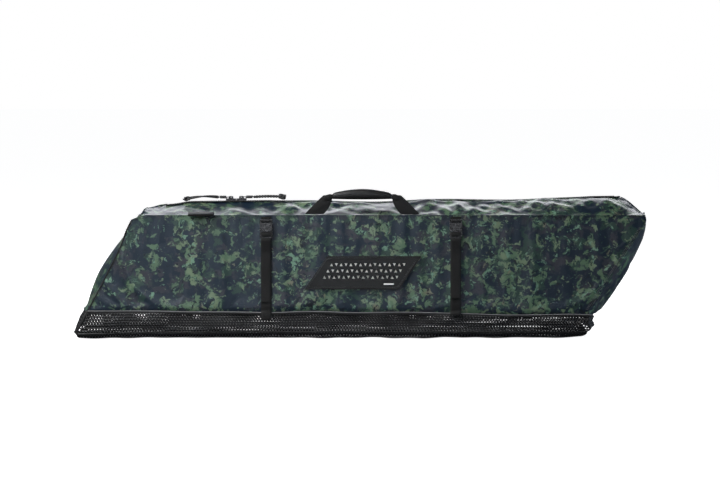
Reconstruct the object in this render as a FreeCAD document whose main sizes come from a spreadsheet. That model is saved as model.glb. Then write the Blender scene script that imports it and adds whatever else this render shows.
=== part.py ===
import FreeCAD, Part
import math
import os
import re

import Sketcher
from FreeCAD import Placement, Rotation, Vector

# A soft wet-gear bag in the shape of a leaning parallelogram: coated fabric above a mesh tray,
# a two-slider zip along the top, a carry handle and two compression straps on the front.
# Origin: middle of the footprint, on the ground. +X runs along the bag, -Y is the front, +Z is up.

DIMENSIONS = {
    # Bag body
    "bag_depth": 200,           # between the front and the back seam
    "stock_length": 1500,       # length that the walls are cut from
    "seam_height": 257,         # height of the top seams
    "mesh_height": 57,          # height at which fabric gives way to mesh
    "left_foot": 598,           # left seam on the ground, left of the origin
    "left_lean": 0.48,          # sideways shift per unit of height
    "right_foot": 488,          # right mesh corner on the ground
    "right_knee": 482,          # right seam at the mesh height
    "right_lean": 0.595,
    "left_round": 14,           # rounding of the seam corners
    "right_round": 12,
    "fabric_thick": 1.8,
    "mesh_thick": 1.5,
    "wall_bulge": 6,            # how far the walls stand out between the seams
    "bulge_low": 95,            # the stretch of wall that stands out fully
    "bulge_high": 175,
    "left_bulge": 24,           # outward bow of the end panels, at mid height
    "right_bulge": 28,
    "bow_at_hem": 7,            # their bow at the mesh and at the top
    "right_bow_at_hem": 16,     # the right panel hangs out over the mesh
    "bow_at_top": 3,
    "end_half_width": 96.5,
    # Seams
    "piping_radius": 2.5,
    "piping_height": 14,        # lower run of the piping above the ground
    "seam_gap": 3.4,            # from the piping's centre line up or down to a fabric edge
    "left_gap": 3.74,           # and sideways, at the leaning left seam
    "right_gap": 4.08,          # and at the right seam
    "mesh_right_gap": 4.76,     # and at the right seam below the hem
    "hem_height": 7,
    "hem_thick": 1.2,
    "sheet_gap": 0.2,           # between layers that lie on each other
    # Top
    "crest_left": 281,
    "crest_right": 293,
    "zip_left": 410,            # left end of the opening, left of the origin
    "zip_right": 546,
    "flap_half": 96.5,          # flap's sewn edge from the middle
    "flap_lip": 9.5,            # flap's zip edge from the middle
    "flap_rise": 1,             # sewn edge above the seam
    "cap_gap": 1,
    "cap_end_rise": 6,
    "left_cap_end": 472,
    "right_cap_end": 590,
    # Zip
    "zip_rise": 0.8,            # tape's middle above the crest
    "tape_thick": 1,
    "tape_edge": 13.5,
    "tape_inset": 2,            # tape's ends from the ends of the opening
    "tape_inner": 5.1,
    "tooth_pitch": 4.8,
    "tooth_length": 2.2,
    "tooth_tip": 0.8,
    "tooth_root": 5,
    "tooth_tall": 4.6,
    "tooth_inset": 8,           # first tooth from the end of the opening
    "notch_reach": 8,           # back tape is cut back this far under the parked sliders
    "notch_left": 290,
    "notch_right": 230,
    "stop_length": 5,
    "stop_tab": 1,              # reaches to the edge of the fixed cap
    "stop_clear": 0.1,
    # Sliders and pulls
    "slider_meet": 260,         # where the two sliders touch, left of the origin
    "slider_length": 21,
    "slider_space": 1,
    "slider_width": 14,
    "slider_tall": 9.2,
    "slider_plate": 1.8,
    "flange_width": 1.3,
    "flange_slot": 1.8,
    "divider_thick": 1,
    "divider_length": 6,
    "bridge_half": 5,
    "bridge_tall": 5.4,
    "bridge_thick": 3,
    "bridge_bore": 1.6,
    "pull_height": 7.7,         # hinge of the pull above the tape
    "pull_length": 32,
    "pull_width": 8,
    "pull_thick": 1.6,
    "pull_neck": 6.5,
    "pull_arm": 1.6,
    "pull_pin": 1.1,
    "pull_eye": 1.9,
    "cord_at": 28,              # cord eye from the hinge of the pull
    "cord_radius": 1.25,
    "cord_half": 2.3,           # half of the gap between the two strands' centre lines
    "knot_lift": 0.9,           # knot's middle above the pull
    "cord_tail": 9,
    "left_cord": 65,
    "right_cord": 58,
    "knot_radius": 4.5,
    "knot_half": 4.5,
    # Carry handle
    "handle_left": 95,          # middles of the two legs at the seam
    "handle_right": 104,
    "handle_root": 3.6,         # lower edge of the legs above the seam
    "leg_width": 39,
    "leg_lean": 33,
    "handle_thick": 3,
    "core_low": 293.5,
    "core_high": 299.5,
    "leg_top": 301.5,
    "grip_left": 59,
    "grip_right": 67,
    "grip_low": 290.5,
    "grip_tall": 22.5,
    "grip_wide": 22,
    "grip_end": 0.55,           # size of the grip's ends against its middle
    "grip_clear": 0.3,
    "grip_edge": 0.45,          # rounding of its section, of the section's height
    "fold_length": 15,
    "fold_thick": 8,
    "fold_low": 288.5,
    "fold_gap": 2,              # stitched folds from the grip's ends
    # Straps
    "left_strap": -194,
    "right_strap": 198,
    "webbing_width": 22,
    "webbing_thick": 1.5,
    "strap_foot": 61.5,         # lower end of the compression straps
    "left_tail_end": 78,
    "right_tail_end": 86,
    "tail_top": 211,
    # Buckles
    "buckle_back": 105.4,       # back face in front of the bag's middle plane
    "buckle_wide": 26,
    "buckle_thick": 8,
    "buckle_wall": 1.6,
    "housing_low": 229.5,
    "housing_high": 250,
    "cavity_high": 241,
    "window_low": 232.5,
    "window_high": 239.5,
    "slot_low": 243,
    "slot_high": 246.4,
    "slot_clear": 0.3,
    "base_low": 212,
    "base_high": 229.2,
    "bar_slot": 3.4,
    "bar_low": 215,
    "bar_high": 221.5,
    "bar_clear": 0.4,           # webbing from the bar that it turns round
    "base_inset": 1.8,
    "prong_root": 229.6,
    "prong_high": 240,
    "prong_inner": 6.5,
    "prong_outer": 9.2,
    "prong_hook": 12.6,
    "hook_low": 234,
    "hook_high": 237.5,
    "guide_half": 1.5,
    "guide_root": 1,            # guide's overlap with the base, and how much shorter it is
    "guide_short": 2,           # than the prongs
    # Vent patch
    "vent_top_left": -68,
    "vent_top_right": 127,
    "vent_foot_left": -115,
    "vent_foot_right": 81,
    "vent_high": 174,
    "vent_low": 105,
    "vent_round": 9,
    "vent_thick": 2.6,
    "vent_border": 6,
    "vent_step": 0.9,
    "vent_skew": 1.25,          # sideways inset of a slanting side per unit of inset
    "vent_window": 12,          # fabric window behind the patch, inset
    "hole_pitch": 10,
    "hole_side": 6.2,
    "hole_first": -62,
    "hole_top": 153,
    "hole_drop": 13,
    "hole_shift": -7.4,
    # Grab tab
    "grab_middle": -332,
    "grab_wide": 53,
    "grab_reach": 24,
    "grab_thick": 4,
    "grab_root": 3.8,
    "grab_tilt": 15,
}

VENT_COLUMNS = 8
VENT_ROWS = 3

doc = FreeCAD.newDocument("wet_gear_bag")
sheet = doc.addObject("Spreadsheet::Sheet", "dims")
for row, (alias, size) in enumerate(DIMENSIONS.items(), start=1):
    sheet.set(f"A{row}", alias)
    sheet.set(f"B{row}", str(size))
    sheet.setAlias(f"B{row}", alias)
doc.recompute()

subparts = []


# ---------------------------------------------------------------- expressions

def named(expression):
    """Prefix every dimension in an expression with the sheet it lives in."""
    def prefix(word):
        return "dims." + word.group() if word.group() in DIMENSIONS else word.group()
    return re.sub(r"[a-z][a-z_]+", prefix, str(expression))


def number(expression):
    """Present value of an expression."""
    return float(sheet.evalExpression(named(expression)))


def left_seam(height):
    return f"(-left_foot + left_lean*({height}))"


def right_seam(height):
    return f"(right_knee + right_lean*(({height}) - mesh_height))"


def bow_radius(half_width, bow):
    """Radius of the arc that bows by the given height over a chord."""
    return f"((({half_width})^2 + ({bow})^2)/(2*({bow})))"


# ---------------------------------------------------------------- sketches

def new_body(name):
    body = doc.addObject("PartDesign::Body", name)
    body.Label = name
    subparts.append(body)
    return body


def new_sketch(body, role, offset="0"):
    """Empty sketch on one of the body's origin planes, moved along the plane's normal."""
    plane = next(item for item in body.Origin.OriginFeatures if item.Role == role)
    drawing = body.newObject("Sketcher::SketchObject", body.Name + "_sketch")
    drawing.AttachmentSupport = [(plane, "")]
    drawing.MapMode = "FlatFace"
    drawing.setExpression("AttachmentOffset.Base.z", named(offset))
    return drawing


def pin_point(drawing, geometry, end, corner):
    """Tie one point to the sheet by its two coordinates."""
    for kind, expression in (("DistanceX", corner[0]), ("DistanceY", corner[1])):
        index = drawing.addConstraint(
            Sketcher.Constraint(kind, -1, 1, geometry, end, number(expression)))
        drawing.setExpression(f"Constraints[{index}]", named(expression))


def set_radius(drawing, geometry, expression):
    index = drawing.addConstraint(Sketcher.Constraint("Radius", geometry, number(expression)))
    drawing.setExpression(f"Constraints[{index}]", named(expression))


def near_end(drawing, geometry, point):
    """Which end of an arc lies at a point: 1 for its start, 2 for its end."""
    starts_there = drawing.getPoint(geometry, 1).distanceToPoint(point)
    ends_there = drawing.getPoint(geometry, 2).distanceToPoint(point)
    return 1 if starts_there < ends_there else 2


def bent_edge(start, end, radius, side):
    """Arc between two points, bowed to the left (+1) or right (-1) of their direction."""
    chord = end - start
    bow = radius - math.sqrt(radius**2 - chord.Length**2/4)
    sideways = Vector(-chord.y, chord.x, 0).normalize()
    return Part.Arc(start, (start + end)*0.5 + sideways*bow*side, end)


def outline(drawing, corners, bends=None):
    """Closed outline of (u, v) corners, or (u, v, radius) where a corner is round.

    bends maps the number of an edge to (radius, side) where that edge is an arc.
    """
    bends = bends or {}
    count = len(corners)
    points = [Vector(number(corner[0]), number(corner[1]), 0) for corner in corners]
    arrive = list(points)
    leave = list(points)
    middles = {}
    for i, corner in enumerate(corners):
        if len(corner) == 3:
            back = (points[i - 1] - points[i]).normalize()
            ahead = (points[(i + 1) % count] - points[i]).normalize()
            half_angle = back.getAngle(ahead)/2
            radius = number(corner[2])
            arrive[i] = points[i] + back*(radius/math.tan(half_angle))
            leave[i] = points[i] + ahead*(radius/math.tan(half_angle))
            inward = (back + ahead).normalize()
            middles[i] = points[i] + inward*(radius/math.sin(half_angle) - radius)
    edges = []
    for i in range(count):
        finish = arrive[(i + 1) % count]
        if i in bends:
            edge = bent_edge(leave[i], finish, number(bends[i][0]), bends[i][1])
        else:
            edge = Part.LineSegment(leave[i], finish)
        edges.append(drawing.addGeometry(edge, False))
    first = [near_end(drawing, edges[i], leave[i]) for i in range(count)]
    for i, corner in enumerate(corners):
        before = edges[i - 1]
        before_end = 3 - first[i - 1]
        if i in middles:
            round_corner(drawing, corner, points[i], (arrive[i], middles[i], leave[i]),
                         before, edges[i])
        else:
            drawing.addConstraint(
                Sketcher.Constraint("Coincident", before, before_end, edges[i], first[i]))
            pin_point(drawing, edges[i], first[i], corner)
    for i, (radius, side) in bends.items():
        set_radius(drawing, edges[i], radius)
    return drawing


def round_corner(drawing, corner, point, arc_points, before, after):
    """Round a corner between two lines whose extensions meet in a pinned point."""
    arc = drawing.addGeometry(Part.Arc(*arc_points), False)
    meeting = drawing.addGeometry(Part.Point(point), True)
    pin_point(drawing, meeting, 1, corner)
    for line, line_end, arc_point in ((before, 2, arc_points[0]), (after, 1, arc_points[2])):
        drawing.addConstraint(Sketcher.Constraint("PointOnObject", meeting, 1, line))
        drawing.addConstraint(Sketcher.Constraint(
            "Tangent", line, line_end, arc, near_end(drawing, arc, arc_point)))
    set_radius(drawing, arc, corner[2])


def circle(drawing, centre, radius):
    middle = Vector(number(centre[0]), number(centre[1]), 0)
    ring = drawing.addGeometry(Part.Circle(middle, Vector(0, 0, 1), number(radius)), False)
    pin_point(drawing, ring, 3, centre)
    set_radius(drawing, ring, radius)
    return drawing


def box_corners(left, low, right, high):
    return [(left, low), (right, low), (right, high), (left, high)]


# ---------------------------------------------------------------- features

def pad(body, drawing, length, symmetric=False):
    feature = body.newObject("PartDesign::Pad", body.Name + "_pad")
    feature.Profile = drawing
    feature.SideType = "Symmetric" if symmetric else "One side"
    feature.setExpression("Length", named(length))
    return feature


def cut(body, drawing, length=None, away=False):
    """Pocket through everything both ways, or one way to a depth (away: along the normal)."""
    feature = body.newObject("PartDesign::Pocket", body.Name + "_pocket")
    feature.Profile = drawing
    if length is None:
        feature.SideType = "Symmetric"
        feature.Type = "ThroughAll"
    else:
        feature.Reversed = away
        feature.setExpression("Length", named(length))
    return feature


def loft(body, drawings):
    feature = body.newObject("PartDesign::AdditiveLoft", body.Name + "_loft")
    feature.Profile = drawings[0]
    feature.Sections = drawings[1:]
    return feature


def sweep(body, profile, path):
    feature = body.newObject("PartDesign::AdditivePipe", body.Name + "_pipe")
    feature.Profile = profile
    feature.Spine = (path, [])
    return feature


def repeat(body, feature, axis_role, length, count):
    """Row of a feature along one of the body's origin axes."""
    axis = next(item for item in body.Origin.OriginFeatures if item.Role == axis_role)
    pattern = body.newObject("PartDesign::LinearPattern", body.Name + "_row")
    pattern.Originals = [feature]
    pattern.Direction = (axis, [""])
    pattern.setExpression("Length", named(length))
    pattern.Occurrences = count
    body.Tip = pattern
    return pattern


def keep_inside(body, corners):
    """Cut away everything outside an outline seen from the front."""
    frame = new_sketch(body, "XZ_Plane")
    outline(frame, box_corners("-left_foot*2", "-bag_depth", "right_foot*2", "seam_height*2"))
    outline(frame, corners)
    cut(body, frame)


def place(body, x="0", y="0", z="0"):
    for axis, expression in (("x", x), ("y", y), ("z", z)):
        body.setExpression(f"Placement.Base.{axis}", named(expression))


# ---------------------------------------------------------------- bag body

def panel_outline():
    """Front view of the fabric panel, inside the piping."""
    low = "(mesh_height + sheet_gap)"
    high = "(seam_height - seam_gap)"
    return [
        (left_seam(low) + " + left_gap", low),
        (right_seam(low) + " - right_gap", low),
        (right_seam(high) + " - right_gap", high, "right_round - seam_gap"),
        (left_seam(high) + " + left_gap", high, "left_round - seam_gap"),
    ]


def wall_section(side, thickness):
    """Section of a wall: upright at the seams and standing out between them."""
    face = f"({side}*bag_depth/2)"
    out = f"({side}*(bag_depth/2 + wall_bulge))"
    inner = f"({side}*{thickness})"
    low = "mesh_height"
    high = "(seam_height - seam_gap)"
    return [
        (face, low), (out, "bulge_low"), (out, "bulge_high"), (face, high),
        (f"{face} - {inner}", high), (f"{out} - {inner}", "bulge_high"),
        (f"{out} - {inner}", "bulge_low"), (f"{face} - {inner}", low),
    ]


def make_wall_panel(name, side):
    body = new_body(name)
    section = outline(new_sketch(body, "YZ_Plane"), wall_section(side, "fabric_thick"))
    pad(body, section, "stock_length", symmetric=True)
    keep_inside(body, panel_outline())
    return body


def vent_corners(inset):
    """Vent outline: sharp at top right and lower left, round at the other two corners."""
    across = f"({inset})*vent_skew"
    low = f"(vent_low + ({inset}))"
    high = f"(vent_high - ({inset}))"
    slant = "((vent_top_left - vent_foot_left)/(vent_high - vent_low))"
    left_low = f"vent_foot_left + {slant}*({inset}) + {across}"
    right_low = f"vent_foot_right + {slant}*({inset}) - {across}"
    right_high = f"vent_top_right - {slant}*({inset}) - {across}"
    left_high = f"vent_top_left - {slant}*({inset}) + {across}"
    radius = f"vent_round - ({inset})/2"
    return [(left_low, low), (right_low, low, radius),
            (right_high, high), (left_high, high, radius)]


def make_front_panel():
    body = make_wall_panel("front_panel", -1)
    window = outline(new_sketch(body, "XZ_Plane", "bag_depth/4"), vent_corners("vent_window"))
    cut(body, window, "bag_depth", away=True)


def make_vent_patch():
    """Moulded plate with a raised border and rows of triangular drain holes."""
    body = new_body("vent_patch")
    face = "(bag_depth/2 + wall_bulge + sheet_gap)"
    plate = outline(new_sketch(body, "XZ_Plane", face), vent_corners("0"))
    pad(body, plate, "vent_thick")
    tray = outline(new_sketch(body, "XZ_Plane", f"{face} + vent_thick"), vent_corners("vent_border"))
    cut(body, tray, "vent_step")
    holes = new_sketch(body, "XZ_Plane", f"{face} + vent_thick")
    for row in range(VENT_ROWS):
        left = f"(hole_first + {row}*hole_shift)"
        low = f"(hole_top - {row}*hole_drop)"
        high = f"({low} + hole_side)"
        outline(holes, [(left, low), (f"{left} + hole_side", low), (f"{left} + hole_side/2", high)])
        turned = f"({left} + hole_pitch)"
        outline(holes, [(turned, high), (f"{turned} + hole_side/2", low),
                        (f"{turned} + hole_side", high)])
    pocket = cut(body, holes, "vent_thick*2")
    repeat(body, pocket, "X_Axis", f"hole_pitch*2*{VENT_COLUMNS - 1}", VENT_COLUMNS)


def end_section(body, height, foot, bow, side, thickness):
    """Bowed strip of an end sheet at one height."""
    sheet_section = new_sketch(body, "XY_Plane", height)
    inner = f"({foot} - ({side})*{thickness})"
    corners = [(foot, "-end_half_width"), (foot, "end_half_width"),
               (inner, "end_half_width"), (inner, "-end_half_width")]
    radius = bow_radius("end_half_width", bow)
    return outline(sheet_section, corners, {0: (radius, -side), 2: (radius, side)})


def make_end_sheet(name, side, levels, thickness):
    """End sheet lofted through (height, foot, bow) levels."""
    body = new_body(name)
    loft(body, [end_section(body, height, foot, bow, side, thickness)
                for height, foot, bow in levels])


def make_end_panels():
    low = "(mesh_height + sheet_gap)"
    middle = "((mesh_height + seam_height)/2)"
    high = "(seam_height - sheet_gap)"
    for name, side, seam, foot_bow, bulge in (
            ("left_end_panel", -1, left_seam, "bow_at_hem", "left_bulge"),
            ("right_end_panel", 1, right_seam, "right_bow_at_hem", "right_bulge")):
        make_end_sheet(name, side, [(low, seam(low), foot_bow), (middle, seam(middle), bulge),
                                    (high, seam(high), "bow_at_top")], "fabric_thick")


def make_mesh_ends():
    low = "(mesh_thick + sheet_gap)"
    high = "(mesh_height - sheet_gap)"
    make_end_sheet("left_mesh_end", -1, [(low, left_seam(low), "bow_at_hem"),
                                         (high, left_seam(high), "bow_at_hem")], "mesh_thick")
    make_end_sheet("right_mesh_end", 1, [(low, "right_foot", "bow_at_hem"),
                                         (high, "right_knee", "bow_at_hem")], "mesh_thick")


def make_mesh_wall(name, side):
    body = new_body(name)
    face = f"({side}*bag_depth/2)"
    section = new_sketch(body, "YZ_Plane")
    outline(section, box_corners(face, "piping_height + seam_gap",
                                 f"{face} - ({side}*mesh_thick)", "mesh_height - sheet_gap"))
    pad(body, section, "stock_length", symmetric=True)
    low = "(piping_height + seam_gap)"
    radius = "left_round - seam_gap"
    keep_inside(body, [
        (left_seam(low) + " + left_gap", low, radius),
        ("right_foot - mesh_right_gap", low, radius), ("right_knee - right_gap", "mesh_height"),
        (left_seam("mesh_height") + " + left_gap", "mesh_height")])


def make_mesh_floor():
    """Flat floor whose long edges turn up to the piping."""
    body = new_body("mesh_floor")
    turn = "(piping_height - seam_gap)"
    edge = "(bag_depth/2)"
    inner_turn = f"({turn} - mesh_thick)"
    section = new_sketch(body, "YZ_Plane")
    outline(section, [
        (f"-{edge}", turn), (f"-{edge} + {turn}", "0"), (f"{edge} - {turn}", "0"), (edge, turn),
        (f"{edge} - mesh_thick", turn), (f"{edge} - {turn}", "mesh_thick"),
        (f"-{edge} + {turn}", "mesh_thick"), (f"-{edge} + mesh_thick", turn)],
        {0: (turn, -1), 2: (turn, -1), 4: (inner_turn, 1), 6: (inner_turn, 1)})
    pad(body, section, "stock_length", symmetric=True)
    keep_inside(body, [
        (left_seam("0") + " + left_gap", "-mesh_thick"),
        ("right_foot - right_gap", "-mesh_thick"),
        ("right_foot - right_gap", "mesh_height"),
        (left_seam("mesh_height") + " + left_gap", "mesh_height")])


def make_piping(name, side):
    """Cord sewn all round the edge of a long side."""
    body = new_body(name)
    path = new_sketch(body, "XZ_Plane", f"{-side}*bag_depth/2")
    low = "piping_height"
    outline(path, [(left_seam(low), low, "left_round"), ("right_foot", low, "left_round"),
                   ("right_knee", "mesh_height", "right_round"),
                   (right_seam("seam_height"), "seam_height", "right_round"),
                   (left_seam("seam_height"), "seam_height", "left_round")])
    section = circle(new_sketch(body, "YZ_Plane"), (f"{side}*bag_depth/2", "seam_height"),
                     "piping_radius")
    sweep(body, section, path)


def make_hem_tape(name, side):
    body = new_body(name)
    face = f"({side}*(bag_depth/2 + sheet_gap))"
    section = new_sketch(body, "YZ_Plane")
    low = "(mesh_height - hem_height/2)"
    high = "(mesh_height + hem_height/2)"
    lean = "(wall_bulge/(bulge_low - mesh_height))"
    rise = f"({side}*{lean}*hem_height/2)"
    outline(section, [(face, low), (face, "mesh_height"), (f"{face} + {rise}", high),
                      (f"{face} + {rise} + {side}*hem_thick", high),
                      (f"{face} + {side}*hem_thick", "mesh_height"),
                      (f"{face} + {side}*hem_thick", low)])
    pad(body, section, "stock_length", symmetric=True)
    keep_inside(body, [
        (left_seam(low) + " + left_gap", low), ("right_knee - mesh_right_gap", low),
        ("right_knee - mesh_right_gap", high), (left_seam(high) + " + left_gap", high)])


# ---------------------------------------------------------------- top

def arched_section(body, at, left, right, crest):
    """Section of the top fabric between two distances from the middle plane."""
    drawing = new_sketch(body, "YZ_Plane", at)
    rise = f"({crest} - seam_height - flap_rise)"
    radius = bow_radius("flap_half", rise)

    def surface(distance, drop):
        shift = f"({radius} - sqrt({radius}^2 - ({distance})^2))"
        return (distance, f"{crest} - {shift} - {drop}")

    corners = [surface(left, "0"), surface(right, "0"),
               surface(right, "fabric_thick"), surface(left, "fabric_thick")]
    return outline(drawing, corners, {0: (radius, 1), 2: (radius, -1)})


def crest_at(x):
    """Height of the crest over a place between the ends of the opening."""
    return f"(crest_left + (crest_right - crest_left)*({x} + zip_left)/(zip_right + zip_left))"


def make_flaps():
    for name, left, right in (("front_flap", "-flap_half", "-flap_lip"),
                              ("back_flap", "flap_lip", "flap_half")):
        body = new_body(name)
        loft(body, [arched_section(body, "-zip_left", left, right, "crest_left"),
                    arched_section(body, "zip_right", left, right, "crest_right")])


def make_top_caps():
    """Fixed fabric that runs down from each end of the opening to the end seam."""
    low_crest = "(seam_height + flap_rise + cap_end_rise)"
    for name, start, end, crest in (
            ("left_top_cap", "-zip_left - cap_gap", "-left_cap_end", "crest_left"),
            ("right_top_cap", "zip_right + cap_gap", "right_cap_end", "crest_right")):
        body = new_body(name)
        loft(body, [arched_section(body, start, "-flap_half", "flap_half", crest),
                    arched_section(body, end, "-flap_half", "flap_half", low_crest)])


# ---------------------------------------------------------------- zip

def set_along_zip(body):
    """Give a part drawn along a level zip the height and the slope of the real one."""
    slope = "atan((crest_right - crest_left)/(zip_right + zip_left))"
    place(body, z=crest_at("0") + " + zip_rise")
    body.Placement = Placement(Vector(0, 0, 0), Rotation(Vector(0, -1, 0), number(slope)))
    body.setExpression("Placement.Rotation.Axis.x", "0")
    body.setExpression("Placement.Rotation.Axis.y", "-1")
    body.setExpression("Placement.Rotation.Axis.z", "0")
    body.setExpression("Placement.Rotation.Angle", named(slope))


def make_zip_tape(name, side):
    body = new_body(name)
    drawing = new_sketch(body, "XY_Plane")
    inner = f"{side}*tape_inner"
    edge = f"{side}*tape_edge"
    outline(drawing, box_corners("-zip_left + tape_inset", edge, "zip_right - tape_inset", inner))
    pad(body, drawing, "tape_thick", symmetric=True)
    if side > 0:
        cut(body, outline(new_sketch(body, "XY_Plane"), notch_corners()))
    set_along_zip(body)


def notch_corners():
    """Room in the back half of the zip for the parked sliders."""
    return box_corners("-notch_left", "0", "-notch_right", "notch_reach")


def make_zip_teeth(name, side, start):
    """Row of moulded teeth; the two rows are half a pitch apart."""
    body = new_body(name)
    body.AllowCompound = True
    drawing = new_sketch(body, "XY_Plane")
    outline(drawing, box_corners(start, f"{side}*tooth_tip", f"{start} + tooth_length",
                                 f"{side}*tooth_root"))
    tooth = pad(body, drawing, "tooth_tall", symmetric=True)
    count = int(number("(zip_left + zip_right - 2*tooth_inset)/tooth_pitch"))
    repeat(body, tooth, "X_Axis", f"tooth_pitch*{count - 1}", count)
    if side > 0:
        pocket = cut(body, outline(new_sketch(body, "XY_Plane"), notch_corners()))
        body.Tip = pocket
    set_along_zip(body)


def make_zip_end_stops():
    """Stop block with its sewn tape end, one at each end of the opening."""
    body = new_body("zip_end_stops")
    body.AllowCompound = True
    for block_end, tab_end in (("-zip_left + 1", "-zip_left - stop_tab"),
                               ("zip_right - 1", "zip_right + stop_tab")):
        inward = 1 if block_end.startswith("-") else -1
        block = new_sketch(body, "XY_Plane")
        outline(block, box_corners(block_end, "-tooth_root + stop_clear",
                                   f"{block_end} + {inward}*stop_length", "tooth_root - stop_clear"))
        pad(body, block, "tooth_tall", symmetric=True)
        tab = new_sketch(body, "XY_Plane", "-tooth_tall/2")
        outline(tab, box_corners(tab_end, "-tooth_root + stop_clear", block_end, "tooth_root - stop_clear"))
        pad(body, tab, "tape_thick")
    set_along_zip(body)


def slider_half(body, middle, side):
    """Upper or lower plate of a slider with its two flanges, drawn across the zip."""
    drawing = new_sketch(body, "YZ_Plane", f"{middle} - slider_length/2")
    wide = "(slider_width/2)"
    inner = "(slider_width/2 - flange_width)"
    top = f"({side}*slider_tall/2)"
    plate = f"({side}*(slider_tall/2 - slider_plate))"
    lip = f"({side}*flange_slot/2)"
    outline(drawing, [(f"-{wide}", top), (wide, top), (wide, lip), (inner, lip), (inner, plate),
                      (f"-{inner}", plate), (f"-{inner}", lip), (f"-{wide}", lip)])
    pad(body, drawing, "slider_length")


def slider_middle(outward):
    """Middle of a slider; outward is -1 for the left one."""
    return f"(-slider_meet + {outward}*(slider_space + slider_length)/2)"


def make_slider(name, outward):
    """Slider with a divider at its mouth and a bored bridge that carries the pull."""
    body = new_body(name)
    middle = slider_middle(outward)
    mouth = f"({middle} - {outward}*slider_length/2)"
    divider = new_sketch(body, "XY_Plane")
    outline(divider, box_corners(mouth, "-divider_thick/2",
                                 f"{mouth} + {outward}*divider_length", "divider_thick/2"))
    pad(body, divider, "slider_tall - slider_plate", symmetric=True)
    slider_half(body, middle, 1)
    slider_half(body, middle, -1)
    bridge = new_sketch(body, "XZ_Plane")
    foot = "(slider_tall/2 - slider_plate/2)"
    head = "(slider_tall/2 + bridge_tall)"
    outline(bridge, [(f"{middle} - bridge_half", foot), (f"{middle} + bridge_half", foot),
                     (f"{middle} + bridge_half", head, "bridge_half*0.6"),
                     (f"{middle} - bridge_half", head, "bridge_half*0.6")])
    circle(bridge, (middle, "pull_height"), "bridge_bore")
    pad(body, bridge, "bridge_thick", symmetric=True)
    set_along_zip(body)


def make_pull_tab(name, outward):
    """Flat pull with a pin through the slider's bridge and an eye for the cord."""
    body = new_body(name)
    hinge = slider_middle(outward)
    half = "(pull_width/2)"
    arm = f"({half} - pull_arm)"
    plate = new_sketch(body, "XY_Plane", "pull_height")
    neck = f"{hinge} + {outward}*pull_neck"
    outline(plate, box_corners(neck, f"-{half}", f"{hinge} + {outward}*pull_length", half))
    circle(plate, (f"{hinge} + {outward}*cord_at", "0"), "pull_eye")
    pad(body, plate, "pull_thick", symmetric=True)
    for side in (-1, 1):
        strip = new_sketch(body, "XY_Plane", "pull_height")
        outline(strip, box_corners(f"{hinge} - {outward}*pull_thick/2", f"{side}*{arm}",
                                   f"{neck} + {outward}*pull_thick", f"{side}*{half}"))
        pad(body, strip, "pull_thick", symmetric=True)
    pin = circle(new_sketch(body, "XZ_Plane"), (hinge, "pull_height"), "pull_pin")
    pad(body, pin, "pull_width - pull_arm", symmetric=True)
    set_along_zip(body)


def make_pull_cord(name, outward, reach):
    """Loop of cord through the eye of the pull, tied in a knot with two loose ends."""
    body = new_body(name)
    eye = f"({slider_middle(outward)} + {outward}*cord_at)"
    bend_at = f"({eye} + {outward}*cord_half)"
    ring = new_sketch(body, "YZ_Plane", bend_at)
    ring.setExpression("AttachmentOffset.Base.y", named("pull_height"))
    circle(ring, ("0", "cord_half"), "cord_radius")
    bend = body.newObject("PartDesign::Revolution", name + "_bend")
    bend.Profile = ring
    bend.ReferenceAxis = (ring, ["H_Axis"])
    bend.Angle = 180
    bend.Reversed = outward > 0
    strands = new_sketch(body, "YZ_Plane", bend_at)
    for side in (-1, 1):
        circle(strands, ("0", f"pull_height + {side}*cord_half"), "cord_radius")
    run = pad(body, strands, f"{reach} + cord_tail - cord_half")
    run.Reversed = outward < 0
    middle = f"({eye} + {outward}*{reach})"
    barrel = new_sketch(body, "XZ_Plane")
    barrel.setExpression("AttachmentOffset.Base.y", named("pull_height + knot_lift"))
    outline(barrel, [
        (f"{middle} - knot_half", "0"), (f"{middle} + knot_half", "0"),
        (f"{middle} + knot_half", "knot_radius*0.6"), (f"{middle} + knot_half/2", "knot_radius"),
        (f"{middle} - knot_half/2", "knot_radius"), (f"{middle} - knot_half", "knot_radius*0.6")])
    knot = body.newObject("PartDesign::Revolution", name + "_knot")
    knot.Profile = barrel
    knot.ReferenceAxis = (barrel, ["H_Axis"])
    knot.Angle = 360
    set_along_zip(body)


# ---------------------------------------------------------------- carry handle

def make_handle_webbing():
    """One webbing: two leaning legs and the core that runs through the grip."""
    body = new_body("handle_webbing")
    foot = "(seam_height + handle_root)"
    left_out = "(-handle_left - leg_width/2)"
    right_out = "(handle_right + leg_width/2)"
    drawing = new_sketch(body, "XZ_Plane", "bag_depth/2")
    outline(drawing, [
        (left_out, foot), (f"{left_out} + leg_width", foot),
        ("-grip_left - fold_gap", "fold_low"), ("-grip_left - fold_gap", "core_low"),
        ("grip_right + fold_gap", "core_low"), ("grip_right + fold_gap", "fold_low"),
        (f"{right_out} - leg_width", foot), (right_out, foot),
        (f"{right_out} - leg_lean", "leg_top"), ("grip_right + fold_gap", "leg_top"),
        ("grip_right + fold_gap", "core_high"), ("-grip_left - fold_gap", "core_high"),
        ("-grip_left - fold_gap", "leg_top"), (f"{left_out} + leg_lean", "leg_top")])
    pad(body, drawing, "handle_thick", symmetric=True)
    for side, end in ((-1, "grip_left"), (1, "grip_right")):
        fold = new_sketch(body, "XZ_Plane", "bag_depth/2")
        outline(fold, box_corners(f"{side}*({end} + 2)", "fold_low",
                                  f"{side}*({end} + 2 + fold_length)", "leg_top"))
        pad(body, fold, "fold_thick", symmetric=True)


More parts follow.
